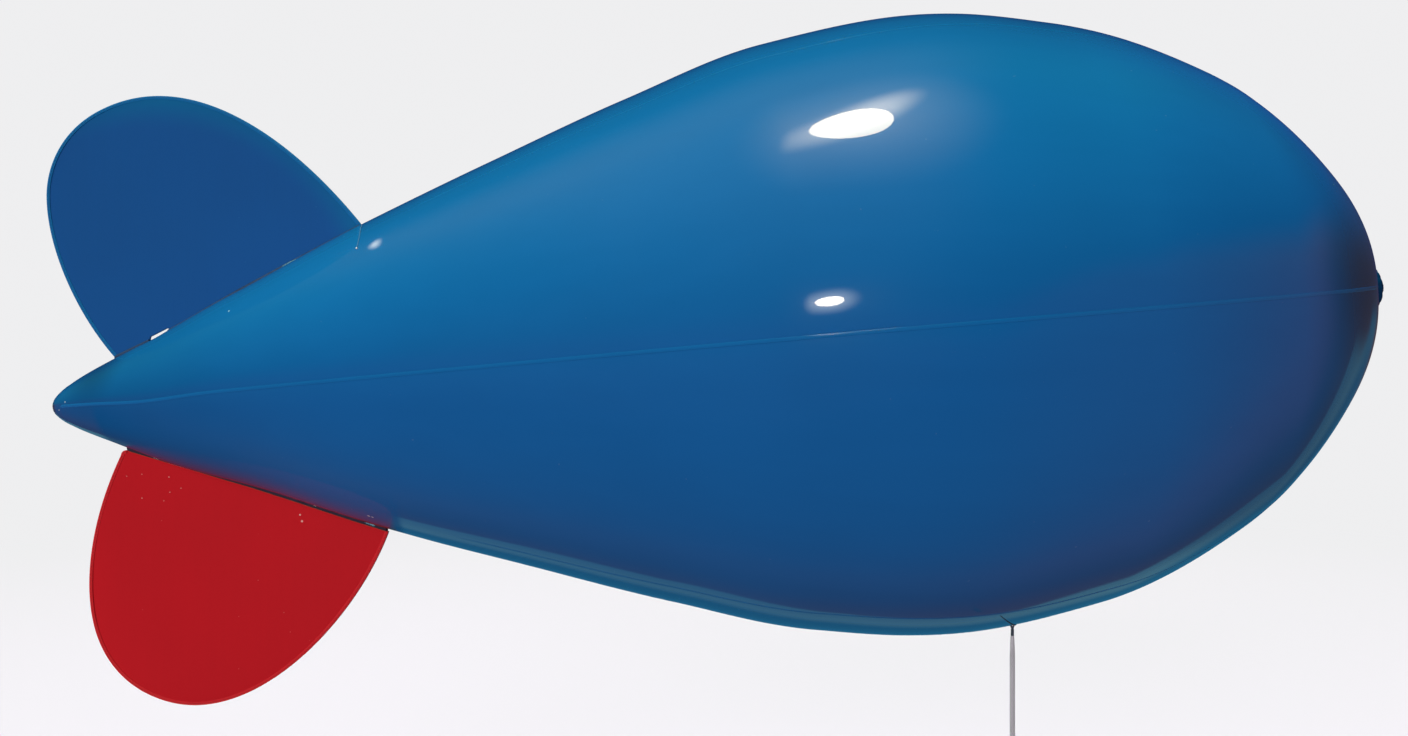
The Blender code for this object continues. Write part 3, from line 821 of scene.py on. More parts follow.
def tube(name, points, radii, own, sides=10):
    """A round cord through points, with one radius or a radius at each."""
    if not isinstance(radii, list):
        radii = [radii] * len(points)
    rings = []
    up = None
    for i, point in enumerate(points):
        ahead = (points[min(i + 1, len(points) - 1)] - points[max(i - 1, 0)]).normalized()
        if up is None:
            up = ahead.orthogonal().normalized()
        up = (up - ahead * up.dot(ahead)).normalized()
        side = ahead.cross(up)
        rings.append([point + radii[i] * (up * cos(turn) + side * sin(turn)) for turn in turns(sides)])
    return shell(name, rings, own, 60, UNMOVED)


def closed_tube(name, points, across, wire, own, lumps=0, lump=0.0, sides=12):
    """A round bar along a closed line in the plane that is square to the direction across."""
    made = bmesh.new()
    rows = []
    count = len(points)
    for i, point in enumerate(points):
        ahead = (points[(i + 1) % count] - points[i - 1]).normalized()
        out = ahead.cross(across)
        row = []
        for turn in turns(sides):
            size = wire - lump * (0.5 + 0.5 * cos(tau * lumps * i / count + turn))
            row.append(made.verts.new(point + size * (out * cos(turn) + across * sin(turn))))
        rows.append(row)
    for i in range(count):
        following = rows[(i + 1) % count]
        for j in range(sides):
            k = (j + 1) % sides
            made.faces.new((rows[i][j], following[j], following[k], rows[i][k]))
    return skinned(name, made, own)


def fin_point(root, along, off, side):
    """From a fin's own root line to the hull's frame, as station and rise."""
    (aft_station, aft_rise), (fore_station, fore_rise) = root
    run = fore_station - aft_station
    climb = fore_rise - aft_rise
    length = hypot(run, climb)
    station = aft_station + (along * run - off * climb) / length
    rise = aft_rise + (along * climb + off * run) / length
    return station, side * rise


def fin_edge(spans, steps):
    """A fin's free edge from its aft corner to its fore one, at even distances."""
    points = []
    for span in spans:
        points += interpolate_bezier(*[Vector((*corner, 0.0)) for corner in span], 60)[:-1]
    points.append(Vector((*spans[-1][-1], 0.0)))
    lengths = [0.0]
    for one, two in zip(points, points[1:]):
        lengths.append(lengths[-1] + (two - one).length)
    even = []
    k = 0
    for i in range(steps + 1):
        at = lengths[-1] * i / steps
        while k < len(lengths) - 2 and lengths[k + 1] < at:
            k += 1
        here = points[k].lerp(points[k + 1], (at - lengths[k]) / (lengths[k + 1] - lengths[k]))
        even.append((here.x, here.y))
    return even


def inset(points, by):
    """The same edge moved in by this much, with its ends kept on the root line."""
    moved = []
    for i, (along, off) in enumerate(points):
        before = points[max(i - 1, 0)]
        after = points[min(i + 1, len(points) - 1)]
        run = after[0] - before[0]
        climb = after[1] - before[1]
        size = hypot(run, climb)
        moved.append((along + by * climb / size, off - by * run / size))
    moved[0] = (points[0][0] + by, 0.0)
    moved[-1] = (points[-1][0] - by, 0.0)
    return moved


def root_lift(fin, along):
    """How far a sheet's own root edge stands off its root line; under nought is towards the hull."""
    if fin is TOP_FIN:
        station, _ = fin_point(fin[3], along, 0.0, 1)
        return (0.0070 if BAR[0] < along < BAR[1] else 0.0015) - droop(station)
    share = min(max((along - 0.30) / 0.39, 0.0), 1.0)
    return -0.0055 + 0.0080 * share * share * (3 - 2 * share)


def free_edge(fin, steps, by):
    """A fin's free edge, moved in by this much, from one end of its root edge to the other."""
    line = inset(fin_edge(fin[4], steps), by)
    corner = CORNER if fin is BOTTOM_FIN else 0.0
    bend = max(corner - by, 0.0)
    low = root_lift(fin, 0.0) + (by + bend if corner else 0.0)
    half = len(line) // 2
    kept = [point for point in line[:half] if point[1] > low + 0.0002]
    first = kept[0][0]
    kept += [point for point in line[half:] if point[1] > root_lift(fin, point[0]) + 0.0002]
    start = [(first, low)]
    if corner:
        arc = [pi / 2 * i / 8 for i in range(9)]
        start = [(first + bend - bend * sin(turn), low - bend * cos(turn)) for turn in arc]
    last = kept[-1][0]
    return start + kept + [(last, root_lift(fin, last))]


# Operators


def handed_over(made, body, slot, *nodes):
    """Says which body a piece rides and which solids it stands for; the slot is not used."""
    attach(made, body)
    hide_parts(*nodes)


class BLIMP_OT_envelope(bpy.types.Operator):
    """Builds the hull's film: one gore from a grid by the hull's rule, turned six times round the axis"""

    bl_idname = "blimp.envelope"
    bl_label = "Hull film"

    def execute(self, context):
        settings = studio()
        board = tree_of("gore_rule", Rows=8, Columns=8, Swell=0.01, Ripple=0.0, Reach=0.02)
        source, rows, columns, swell, ripple, reach = board.given.values()
        index = board.shape("InputIndex")
        place = board.shape("InputPosition")
        row = index % rows
        share = board.maths("FLOOR", index / rows) / (columns - 1)
        kind = {"data_type": "FLOAT_VECTOR"}
        at = board.shape("SampleIndex", kind, Geometry=source, Value=place, Index=row)
        station, _, radius = board.parts(at)
        angle = (share - 0.13 * board.sine(tau * share)) * GORE_TURN
        point = board.vector(station, -(radius * board.cosine(angle)), radius * board.sine(angle))
        flat = board.shape("MeshGrid", Vertices_X=columns, Vertices_Y=rows)
        flat = board.marked(flat, "beside", radius * board.least(angle, GORE_TURN - angle))
        whole = board.copies(GORES, board.moved(flat, point), board.vector(index * -GORE_TURN, 0.0, 0.0))
        whole = board.shape("MergeByDistance", Geometry=whole, Distance=0.00002)
        whole = board.moved(whole, swelled(board, place, swell))
        gap = board.shape("InputNamedAttribute", Name="beside")
        waves = board.grain(board.stretched(place, (1.0, 0.35, 0.35)), 46.0, 1.0) - 0.5
        push = ripple * waves * board.maths("EXPONENT", -(gap / reach))
        x, y, z = board.parts(place)
        top = board.step(z / (board.span(y, z) + SMALL), 0.93, 0.985)
        deep, middle, width = HOLLOW
        push = push - deep * (board.hump((x - middle) / width) * top)
        whole = settled(board, whole, place, push)
        board.close(board.shape("FlipFaces", Mesh=whole), "hull_film")
        made = grown(
            "envelope",
            meridian(0.0, HULL_LENGTH, settings.hull_rows),
            board,
            Rows=settings.hull_rows,
            Columns=settings.gore_columns,
            Swell=settings.gore_swell,
            Ripple=settings.ripple,
            Reach=settings.ripple_reach,
        )
        handed_over(made, "balloon", "blue_film", *GORE_NODES)
        return {"FINISHED"}


class BLIMP_OT_welds(bpy.types.Operator):
    """Builds the welded seams: a flat oval strip along one meridian, turned six times round the axis"""

    bl_idname = "blimp.welds"
    bl_label = "Seam welds"

    def execute(self, context):
        settings = studio()
        board = tree_of("weld_rule", Swell=0.01, Wide=0.008, High=0.0016, Lift=0.00015, Wander=0.0003)
        source, swell, wide, high, lift, wander = board.given.values()
        place = board.shape("InputPosition")
        index = board.shape("InputIndex")
        station, _, radius = board.parts(place)
        sway = (board.grain(place, 9.0) - 0.5) * wander
        path = board.moved(source, board.vector(station, sway, radius + lift))
        path = board.shape("MeshToCurve", Mesh=path)
        oval = board.shape("CurvePrimitiveCircle", Resolution=14, Radius=0.5)
        x, y, z = board.parts(place)
        flat = 1 - 0.16 * board.cosine(x * tau * 3.0)
        oval = board.moved(oval, board.vector(x * wide, y * high * flat, 0.0))
        turn = board.vector(pi / 2 - index * GORE_TURN, 0.0, 0.0)
        whole = board.copies(GORES, board.swept(path, oval), turn)
        whole = board.moved(whole, swelled(board, place, swell))
        deep, stations, heights = WELD_SINK
        size = board.span(y, z) + SMALL
        push = -deep * board.step(x, *stations) * board.step(abs(z / size), *heights)
        board.close(settled(board, whole, place, push), "weld_film")
        made = grown(
            "seam_welds",
            meridian(WELD_START, WELD_END, settings.hull_rows),
            board,
            Swell=settings.gore_swell,
            Wide=settings.weld_width,
            High=settings.weld_height,
        )
        handed_over(made, "balloon", "seam_film", *SEAM_NODES)
        return {"FINISHED"}


class BLIMP_OT_tail(bpy.types.Operator):
    """Builds the round end that closes the gores at the tail"""

    bl_idname = "blimp.tail"
    bl_label = "Tail end"

    def execute(self, context):
        rows = 30
        profile = [(-0.0006, 0.0)]
        for i in range(1, rows + 1):
            profile.append(lifted(TAIL_END * (i / rows) ** 2, 0.0007 * min(1.0, (rows - i) / 3)))

        def pleat(row, along, radius, turn):
            depth = 0.0005 * sin(pi * min(row / rows, 1.0))
            return radius * swell_at(turn) - depth * (0.5 + 0.5 * cos(GORES * 3 * turn))

        made = shell("tail_end", turned_rings(profile, 72, pleat), "hull_film", 40)
        handed_over(made, "balloon", "blue_film", "tail_cap")
        return {"FINISHED"}


class BLIMP_OT_nose(bpy.types.Operator):
    """Builds the nose patch, the pleated filling neck, its wound tie and its gathered end"""

    bl_idname = "blimp.nose"
    bl_label = "Nose and filling neck"

    def execute(self, context):
        handed_over(self.patch(), "balloon", "blue_film", "nose_patch")
        handed_over(self.neck(), "balloon", "blue_film", "filling_neck")
        handed_over(self.tie(), "balloon", "dark_strip", "neck_tie")
        handed_over(self.gathered_end(), "balloon", "blue_film", "neck_end")
        return {"FINISHED"}

    def patch(self):
        """A disc of film with a rounded edge, welded on in two rings."""
        rim = HULL_LENGTH
        while hull_radius(rim) < PATCH_RADIUS:
            rim -= 0.0002
        rows = 26
        under = []
        over = []
        for i in range(rows):
            station = rim + (HULL_LENGTH - rim) * (1 - (1 - i / rows) ** 2)
            ridge = 0.00035 * cos(tau * i / 4) if 0 < i < 10 else 0.0
            under.append(lifted(station, 0.0003))
            over.append(lifted(station, 0.0012 + 0.0015 * min(1.0, i / 2) ** 0.5 + ridge))
        profile = [(HULL_LENGTH + 0.0003, 0.0)] + under[::-1] + over + [(HULL_LENGTH + 0.0027, 0.0)]
        return shell("nose_disc", turned_rings(profile, 96), "patch_film", 40)

    def neck(self):
        """Film drawn together into pleats that deepen towards the tie."""
        foot = HULL_LENGTH + 0.0029
        end = HULL_LENGTH + NECK_END
        curve = HULL_SECTIONS[-2][1] ** 2 / (2 * (HULL_LENGTH - HULL_SECTIONS[-2][0]))
        profile = []
        for i in range(6):
            radius = 0.010 + (NECK_FOOT - 0.010) * i / 5
            profile.append((foot - radius**2 / (2 * curve), radius))
        for i in range(1, 9):
            turn = pi / 2 * i / 8
            profile.append((foot + 0.022 * (1 - cos(turn)) + 0.001, NECK_FOOT + 0.008 * sin(turn)))
        start = profile[-1][0]
        for i in range(1, 9):
            profile.append((start + (end - NECK_SHOULDER - start) * i / 8, NECK_RADIUS))
        gather = NECK_RADIUS - TUFT_RADIUS
        for i in range(1, 17):
            turn = pi / 2 * i / 16
            profile.append((end - NECK_SHOULDER * (1 - sin(turn)), TUFT_RADIUS + gather * cos(turn)))
        profile.append((end, 0.0))
        first = profile[0][0]

        def pleat(row, along, radius, turn):
            share = max(0.0, (along - first) / (end - first))
            around = Vector((cos(turn), sin(turn), share))
            wave = 0.5 + 0.5 * cos(PLEATS * turn + 2.2 * (0.9 * noise.noise(around * 1.7)))
            depth = 0.0004 + 0.0005 * share + 0.0020 * max(0.0, share - 0.8) / 0.2
            crease = 0.0012 * share * noise.noise(Vector((cos(turn) * 4, sin(turn) * 4, share * 5)))
            return radius - depth * wave**2 + min(crease, 0.0)

        return shell("neck_bag", turned_rings(profile, PLEATS * 12, pleat), "neck_film", 60, NECK_PLACED)

    def tie(self):
        """Cord wound three times round the gathered neck, with its knot and two short ends."""
        middle = HULL_LENGTH + NECK_END + 0.0018
        cord = 0.0011

        def around(along, out, turn):
            return NECK_PLACED @ Vector((along, -out * cos(turn), out * sin(turn)))

        wound = []
        steps = 144
        for i in range(steps + 1):
            turn = tau * 3 * i / steps
            out = TUFT_RADIUS + 0.0018 + 0.0010 * sin(turn * 1.3)
            wound.append(around(middle + (i / steps - 0.5) * 0.0030, out, turn))
        pieces = [tube("tie_wound", wound, cord, "dark_cord", 8)]
        for side in (-1, 1):
            end = []
            for i in range(13):
                out = TUFT_RADIUS + 0.0030 + 0.0016 * sin(pi * i / 12)
                turn = -pi / 2 + side * (0.05 + 0.42 * i / 12)
                end.append(around(middle + 0.0005 + side * 0.0007, out, turn))
            pieces.append(tube("tie_end", end, cord * 0.9, "dark_cord", 8))
        return joined("neck_cord", pieces)

    def gathered_end(self):
        """The crumpled end of the neck beyond the tie."""
        tied = HULL_LENGTH + NECK_END
        start = tied + 0.0003
        profile = [(start, 0.0), (start, 0.0158)] + [(tied + along, radius) for along, radius in TUFT]

        def crumple(row, along, radius, turn):
            share = (along - start) / (profile[-1][0] - start)
            wave = 0.5 + 0.5 * cos(PLEATS * turn + 1.5 * sin(3 * turn))
            fold = noise.noise(Vector((cos(turn) * 2.3, sin(turn) * 2.3, 4.0 + share)))
            return radius * (1 - 0.12 * wave * (1 - share)) - 0.04 * radius * abs(fold)

        return shell("neck_tuft", turned_rings(profile, PLEATS * 12, crumple), "neck_film", 60, NECK_PLACED)


class BLIMP_OT_fins(bpy.types.Operator):
    """Builds both fins: the sheets, and the bound edges with their stitches along a path"""

    bl_idname = "blimp.fins"
    bl_label = "Fins"

    def execute(self, context):
        for fin in (TOP_FIN, BOTTOM_FIN):
            name, _, slot, _, _ = fin
            handed_over(self.sheet(fin), "balloon", slot, name)
            handed_over(self.binding(fin), "balloon", slot, name + "_edging")
        return {"FINISHED"}

    def sheet(self, fin):
        """A thin plate that is a little fuller in the middle, warped by less than its own thickness."""
        name, side, _, root, _ = fin
        rows = 40
        edge = free_edge(fin, 132, EDGE_WIDE * 0.55)
        steps = len(edge) - 1
        made = bmesh.new()
        grids = []
        for face_side in (-1, 1):
            grid = []
            for i, (along, off) in enumerate(edge):
                foot = edge[0][0] + (edge[-1][0] - edge[0][0]) * i / steps
                foot_off = root_lift(fin, foot)
                line = []
                for j in range(rows + 1):
                    share = j / rows
                    here_along = foot + (along - foot) * share
                    here_off = foot_off + (off - foot_off) * share
                    inward = (1 - share) * hypot(along - foot, off)
                    thick = FIN_THICK / 2 - 0.0006 * exp(-inward / 0.02)
                    warp = 0.0016 * noise.noise(Vector((here_along * 4.0, here_off * 4.0, side * 3.0)))
                    warp *= min(1.0, max(here_off, 0.0) / 0.2)
                    station, rise = fin_point(root, here_along, here_off, side)
                    line.append(made.verts.new(PLACED @ Vector((station, face_side * thick + warp, rise))))
                grid.append(line)
            grids.append(grid)
            for one, two in zip(grid, grid[1:]):
                for j in range(rows):
                    made.faces.new((one[j], one[j + 1], two[j + 1], two[j]))
        near, far = grids
        for i in range(steps):
            for row in (0, rows):
                made.faces.new((near[i][row], near[i + 1][row], far[i + 1][row], far[i][row]))
        for i in (0, steps):
            for j in range(rows):
                made.faces.new((near[i][j], near[i][j + 1], far[i][j + 1], far[i][j]))
        bmesh.ops.remove_doubles(made, verts=made.verts, dist=1e-6)
        return skinned(name + "_sheet", made, name + "_sheet", 40)

    def binding(self, fin):
        """A rounded strip folded over the edge, and a row of stitches on each side of it."""
        name, side, _, root, _ = fin
        rule = name + "_binding_rule"
        board = tree_of(rule, Wide=0.009, Thick=0.012, Pitch=0.009, Stitch=0.0055, Thread=0.0007)
        source, wide, thick, pitch, stitch, thread = board.given.values()
        path = board.shape("MeshToCurve", Mesh=source)
        outline = board.shape("CurvePrimitiveCircle", Resolution=24, Radius=1.0)
        x, y, z = board.parts(board.shape("InputPosition"))
        section = []
        for value, size in ((x, thick), (y, wide)):
            section.append(board.maths("SIGN", value) * abs(value) ** 0.32 * size * 0.5)
        strip = board.swept(path, board.moved(outline, board.vector(*section, 0.0)))
        spots = board.make("GeometryNodeCurveToPoints", {"mode": "LENGTH"}, {"Curve": path, "Length": pitch})
        points, turn = [Term(board, spots.outputs[label]) for label in ("Points", "Rotation")]
        cut = {"fill_type": "NGON"}
        bar = board.shape("MeshCylinder", cut, Radius=thread, Vertices=6, Side_Segments=3, Depth=stitch)
        sewn = []
        for hand in (-1, 1):
            one = board.moved(bar, board.vector(x + thick * (0.5 * hand), y, z))
            sewn.append(board.shape("InstanceOnPoints", Points=points, Instance=one, Rotation=turn))
        parts = []
        for part, own in ((strip, name + "_binding"), (board.together(sewn), name + "_thread")):
            parts.append(board.shape("SetMaterial", Geometry=part, Material=finish(own)))
        board.close(board.together(parts))
        line = []
        for along, off in free_edge(fin, 260, EDGE_WIDE / 2):
            station, rise = fin_point(root, along, off, side)
            line.append(PLACED @ Vector((station, 0.0, rise)))
        made = grown(name + "_bound_edge", path_mesh(line), board, Wide=EDGE_WIDE, Thick=EDGE_THICK)
        made.data.set_sharp_from_angle(angle=radians(50))
        return made


class BLIMP_OT_fin_roots(bpy.types.Operator):
    """Builds the dark strips between the fins and the hull, with their piping and pale tape ends"""

    bl_idname = "blimp.fin_roots"
    bl_label = "Fin roots"

    def execute(self, context):
        for name, fin, first, last in ROOT_STRIPS:
            pieces = [self.strip(fin, first, last)] + self.piping(fin, first, last)
            for end in TAPE_ENDS:
                if end[0] is fin and first <= end[1] and end[2] <= last:
                    pieces += self.tape_end(*end)
            if name == "top_fin_strip_fore":
                pieces += self.loose_thread()
            handed_over(joined(name + "_dressed", pieces), "balloon", "dark_strip", name)
        return {"FINISHED"}

    def level(self, fin, along, across):
        """Station, the strip's underside and its top at this place across."""
        station, top = fin_point(fin[3], along, root_lift(fin, along) - 0.0003, 1)
        radius = hull_radius(station) * swell_at(TOP)
        return station, sqrt(radius**2 - across**2) + 0.0004 - fin[1] * droop(station), top

    def strip(self, fin, first, last):
        side = fin[1]
        rings = []
        for i in range(STRIP_STEPS + 1):
            along = first + (last - first) * i / STRIP_STEPS
            half = STRIP_HALF * (1 - 0.05 * sin(41.0 * along))
            ring = []
            for share, height in STRIP_OUTLINE:
                station, under, top = self.level(fin, along, share * half)
                ring.append((station, share * half, side * (under + (top - under) * height)))
            rings.append(ring)
        return shell("strip", rings, "dark_tape" if side < 0 else "navy_tape", 50)

    def piping(self, fin, first, last):
        """A thin cord on each side, where the sheet meets the strip."""
        side = fin[1]
        made = []
        for across in (-1, 1):
            points = []
            for i in range(STRIP_STEPS + 1):
                along = first + 0.002 + (last - first - 0.004) * i / STRIP_STEPS
                station, _, top = self.level(fin, along, 0.0)
                out = across * (FIN_THICK / 2 + 0.0012 + 0.0004 * sin(57.0 * along + across))
                points.append(PLACED @ Vector((station, out, side * (top + 0.0002))))
            made.append(tube("piping", points, 0.0009, "piping" if side < 0 else "navy_tape", 8))
        return made

    def loose_thread(self):
        """A thread that lies on the hull, with a knot at its end."""
        points = [on_hull(station, radians(turn), 0.0010) for station, turn in LOOSE_THREAD]
        ahead = (points[-1] - points[-2]).normalized()
        bead = [points[-1] + ahead * (0.0045 * i / 6 - 0.0015) for i in range(7)]
        sizes = [0.0007, 0.0016, 0.0022, 0.0023, 0.0022, 0.0016, 0.0006]
        return [tube("thread", points, 0.0007, "pale_thread", 6), tube("knot", bead, sizes, "knot")]

    def tape_end(self, fin, start, end, low, high, own):
        """A short ragged end of tape that shows on both sides of the strip."""
        made = []
        steps = 30
        inner = STRIP_HALF * 0.72
        reach = STRIP_HALF + 0.0007
        rim = reach + 0.0003
        for across in (-1, 1):
            rings = []
            for i in range(steps + 1):
                along = start + (end - start) * i / steps
                station, under, top = self.level(fin, along, STRIP_HALF)
                worn = 0.55 + 1.1 * noise.noise(Vector((along * 290.0, across, low * 9.0)))
                taper = min(1.0, 4 * min(i, steps - i) / steps + 0.25)
                half = (high - low) / 2 * (top - under) * max(0.10, min(1.0, worn)) * taper
                middle = under + (top - under) * (low + high) / 2
                corners = ((inner, -half), (reach, -half), (rim, 0.0), (reach, half), (inner, half))
                rings.append([(station, across * y, fin[1] * (middle + z)) for y, z in corners])
            made.append(shell("tape_end", rings, own))
        return made


class BLIMP_OT_belly(bpy.types.Operator):
    """Builds the belly's reinforcing patch and the cord loop that carries the tether"""

    bl_idname = "blimp.belly"
    bl_label = "Belly patch and loop"

    def execute(self, context):
        handed_over(self.patch(), "balloon", "blue_film", "belly_patch")
        handed_over(self.loop(), "balloon", "webbing", "belly_loop")
        return {"FINISHED"}

    def patch(self):
        """A square of film with round corners, thin at its rim, with two sewn tapes and a loose cord end."""
        radius = hull_radius(TETHER_STATION)
        rings = []
        full = 0.0026
        rim = ((1.0, 0.0004), (1.0, 0.0012), (0.985, 0.0022), (0.95, full), (0.90, 0.0022))
        for share, lift in rim + ((0.85, full), (0.6, full), (0.3, full)):
            ring = []
            for turn in turns(72):
                corner = [copysign(abs(at) ** 0.42, at) for at in (cos(turn), sin(turn))]
                x, y = [at * BELLY_PATCH / 2 * share for at in corner]
                ring.append(hull_point(TETHER_STATION + x, BELLY + y / radius, lift))
            rings.append(ring)
        rings.append([hull_point(TETHER_STATION, BELLY, full)])
        pieces = [shell("belly_film", rings, "patch_film", 50)]
        for across in (-1, 1):
            strap = []
            for i in range(13):
                station = TETHER_STATION + (i / 12 - 0.5) * 0.050
                ring = []
                for y, lift in ((-0.005, 0.0024), (0.005, 0.0024), (0.005, 0.0034), (-0.005, 0.0034)):
                    ring.append(hull_point(station, BELLY + (across * LOOP_HALF + y) / radius, lift))
                strap.append(ring)
            pieces.append(shell("belly_tape", strap, "dark_cord"))
        points = []
        sizes = []
        for i in range(33):
            share = i / 32
            size = 0.0019 - 0.0013 * share
            lift = size * 0.6 + 0.0030 * (1 - share) ** 6
            station = TETHER_STATION - 0.006 - 0.110 * share**1.5
            points.append(on_hull(station, BELLY + 0.02 + 0.48 * share, lift))
            sizes.append(size)
        pieces.append(tube("cord_end", points, sizes, "dark_cord"))
        return joined("belly_square", pieces)

    def loop(self):
        """A plaited cord that comes down, bends and goes back up."""
        pivot = pivot_point()
        top = PIVOT_DROP - 0.0032
        path = [(-LOOP_HALF, top + (LOOP_HALF - top) * i / 6) for i in range(7)]
        bend = [pi * i / 32 for i in range(1, 33)]
        path += [(-LOOP_HALF * cos(turn), LOOP_HALF - LOOP_HALF * sin(turn)) for turn in bend]
        path += [(LOOP_HALF, LOOP_HALF + (top - LOOP_HALF) * i / 6) for i in range(1, 7)]
        points = [pivot + Vector((0, across, up)) for across, up in path]
        radii = [LOOP_CORD * (1 - 0.06 * cos(i * 2.1)) / 1.06 for i in range(len(points))]
        return tube("belly_cord", points, radii, "dark_cord", 12)


class BLIMP_OT_tether(bpy.types.Operator):
    """Builds the tether: a braid of strands on a core, its served eye, whipping, sleeve, low eye and link"""

    bl_idname = "blimp.tether"
    bl_label = "Tether"

    def execute(self, context):
        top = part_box("tether_splice")[1]
        bottom, rope_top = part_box("tether_rope")
        centre = (bottom + rope_top) / 2
        line = Vector((centre.x, centre.y, 0.0))
        rope = self.braid(line, top.z, bottom.z)
        rope.visible_glossy = False
        handed_over(rope, "tether", "rope", "tether_splice", "tether_rope")
        for made, slot, node in (
            (self.eye(), "webbing", "tether_eye"),
            (self.wrapped("tether_whipping", line, WHIPPING_RADIUS, 0.0008), "webbing", "tether_whipping"),
            (self.wrapped("tether_sleeve", line, SLEEVE_RADIUS, 0.0016), "webbing", "tether_sleeve"),
            (self.low_eye(), "rope", "tether_low_eye"),
            (self.link_bar(), "steel", "tether_link"),
        ):
            handed_over(made, "tether", slot, node)
        return {"FINISHED"}

    def braid(self, line, high, low):
        """Strands of both hands that pass over and under each other, on a round core."""
        pitch = studio().braid_pitch
        board = tree_of(
            "braid_rule", Top=0.0, Bottom=-1.0, Taper=0.05, Thin=0.6, Strands=8, Pitch=0.04, Yarn=0.0015
        )
        source, top, bottom, taper, thin, strands, lay, thread = board.given.values()
        index = board.shape("InputIndex")
        x, y, z = board.parts(board.shape("InputPosition"))
        depth = z * (top - bottom)
        scale = thin + (1 - thin) * board.least(depth / taper, 1.0)

        def course(place, round_line):
            """A round line along this path, thinner towards the top."""
            path = board.shape("MeshToCurve", Mesh=board.moved(source, place))
            return board.swept(board.shape("SetCurveRadius", Curve=path, Radius=scale), round_line)

        section = board.shape("CurvePrimitiveCircle", Resolution=8, Radius=thread)
        twist = board.vector(0.0, 0.0, index * tau / strands)
        parts = []
        for hand in (-1, 1):
            turn = depth / lay * (tau * hand)
            over = board.cosine(depth / lay * (tau * STRANDS / 2) + (0.0 if hand > 0 else pi))
            reach = (ROPE_RADIUS - 0.0017 + 0.0007 * over) * scale
            place = board.vector(reach * board.cosine(turn), reach * board.sine(turn), top - depth)
            parts.append(board.copies(strands, course(place, section), twist))
        core = board.shape("CurvePrimitiveCircle", Resolution=20, Radius=ROPE_RADIUS - 0.0019)
        parts.append(course(board.vector(0.0, 0.0, top - depth), core))
        whole = board.together(parts)
        # How far out a point lies, against the rope's thickness at its height
        size = thin + (1 - thin) * board.least((top - z) / taper, 1.0)
        out = board.span(x, y) / board.most(size, 0.01)
        whole = board.marked(whole, "crown", board.step(out, ROPE_RADIUS - 0.0013, ROPE_RADIUS + 0.0002))
        whole = board.marked(whole, "run", z + 0.35 * board.maths("ARCTAN2", y, x) * 0.006)
        board.close(board.shape("Transform", Geometry=whole, Translation=(line.x, line.y, 0.0)), "rope_yarn")
        count = int((high - low) / pitch * STRAND_STEPS)
        return grown(
            "tether_braid",
            path_mesh([(0, 0, i / count) for i in range(count + 1)]),
            board,
            Top=high,
            Bottom=low,
            Taper=TAPER_LENGTH,
            Thin=WHIPPING_RADIUS / ROPE_RADIUS,
            Strands=STRANDS,
            Pitch=pitch,
            Yarn=YARN_RADIUS,
        )

    def eye(self):
        """A narrow loop of served rope over the belly cord, with its legs drawn together at the whipping."""
        low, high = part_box("tether_eye")
        pivot = pivot_point()
        bend = high.z - EYE_WIRE - pivot.z
        foot = low.z + EYE_WIRE * 0.6
        touch = acos((bend - 0.0012) / (pivot.z - foot))
        points = []
        for i in range(41):
            turn = touch - pi / 2 + (tau - 2 * touch) * i / 40
            points.append(pivot + bend * Vector((cos(turn), 0.0, sin(turn))))
        left, right = points[-1], points[0]
        foot_left, foot_right = [Vector((pivot.x + off, 0.0, foot)) for off in (-0.0012, 0.0012)]
        points += [left.lerp(foot_left, i / 14) for i in range(1, 15)]
        points += [foot_right.lerp(right, i / 14) for i in range(14)]
        return closed_tube("served_eye", points, Vector((0, 1, 0)), EYE_WIRE, "dark_cord", 22, 0.0003)

    def low_eye(self):
        low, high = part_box("tether_low_eye")
        centre = (low + high) / 2
        points = [centre + LOW_EYE_RADIUS * Vector((0.0, sin(turn), cos(turn))) for turn in turns(132)]
        return closed_tube("rope_eye", points, Vector((1, 0, 0)), LOW_EYE_WIRE, "dark_cord", 22, 0.0006)

    def wrapped(self, node, line, radius, thread):
        """Thread wound side by side, with rounded ends."""
        low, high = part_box(node)
        steps = 6
        count = round((high.z - low.z) / thread) * steps
        rings = [[(line.x, line.y, low.z)]]
        for i in range(count + 1):
            height = low.z + (high.z - low.z) * i / count
            ridge = abs(sin(pi * i / steps))
            size = (radius - thread * 0.22 * (1 - ridge)) * min(1.0, min(i, count - i) / steps + 0.55)
            around = [(size * cos(turn), size * sin(turn)) for turn in turns(20)]
            rings.append([(line.x + x, line.y + y, height) for x, y in around])
        rings.append([(line.x, line.y, high.z)])
        return shell(node + "_wound", rings, "dark_cord", 70, UNMOVED)

    def link_bar(self):
        """The closed link, from a round bar, over the low eye's lower bend."""
        low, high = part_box("tether_link")
        centre = (low + high) / 2
        corner = 0.0055
        wide, tall = [size / 2 - LINK_BAR / 2 - corner for size in (high.x - low.x, high.z - low.z)]
        points = []
        for sign_x, sign_z, start in ((1, 1, 90), (1, -1, 0), (-1, -1, -90), (-1, 1, -180)):
            for i in range(9):
                turn = radians(start - 90 * i / 8)
                x = sign_x * wide + corner * cos(turn)
                z = sign_z * tall + corner * sin(turn)
                points.append(centre + Vector((x, 0, z)))
        return closed_tube("link_ring", points, Vector((0, 1, 0)), LINK_BAR / 2, "link_steel", sides=16)


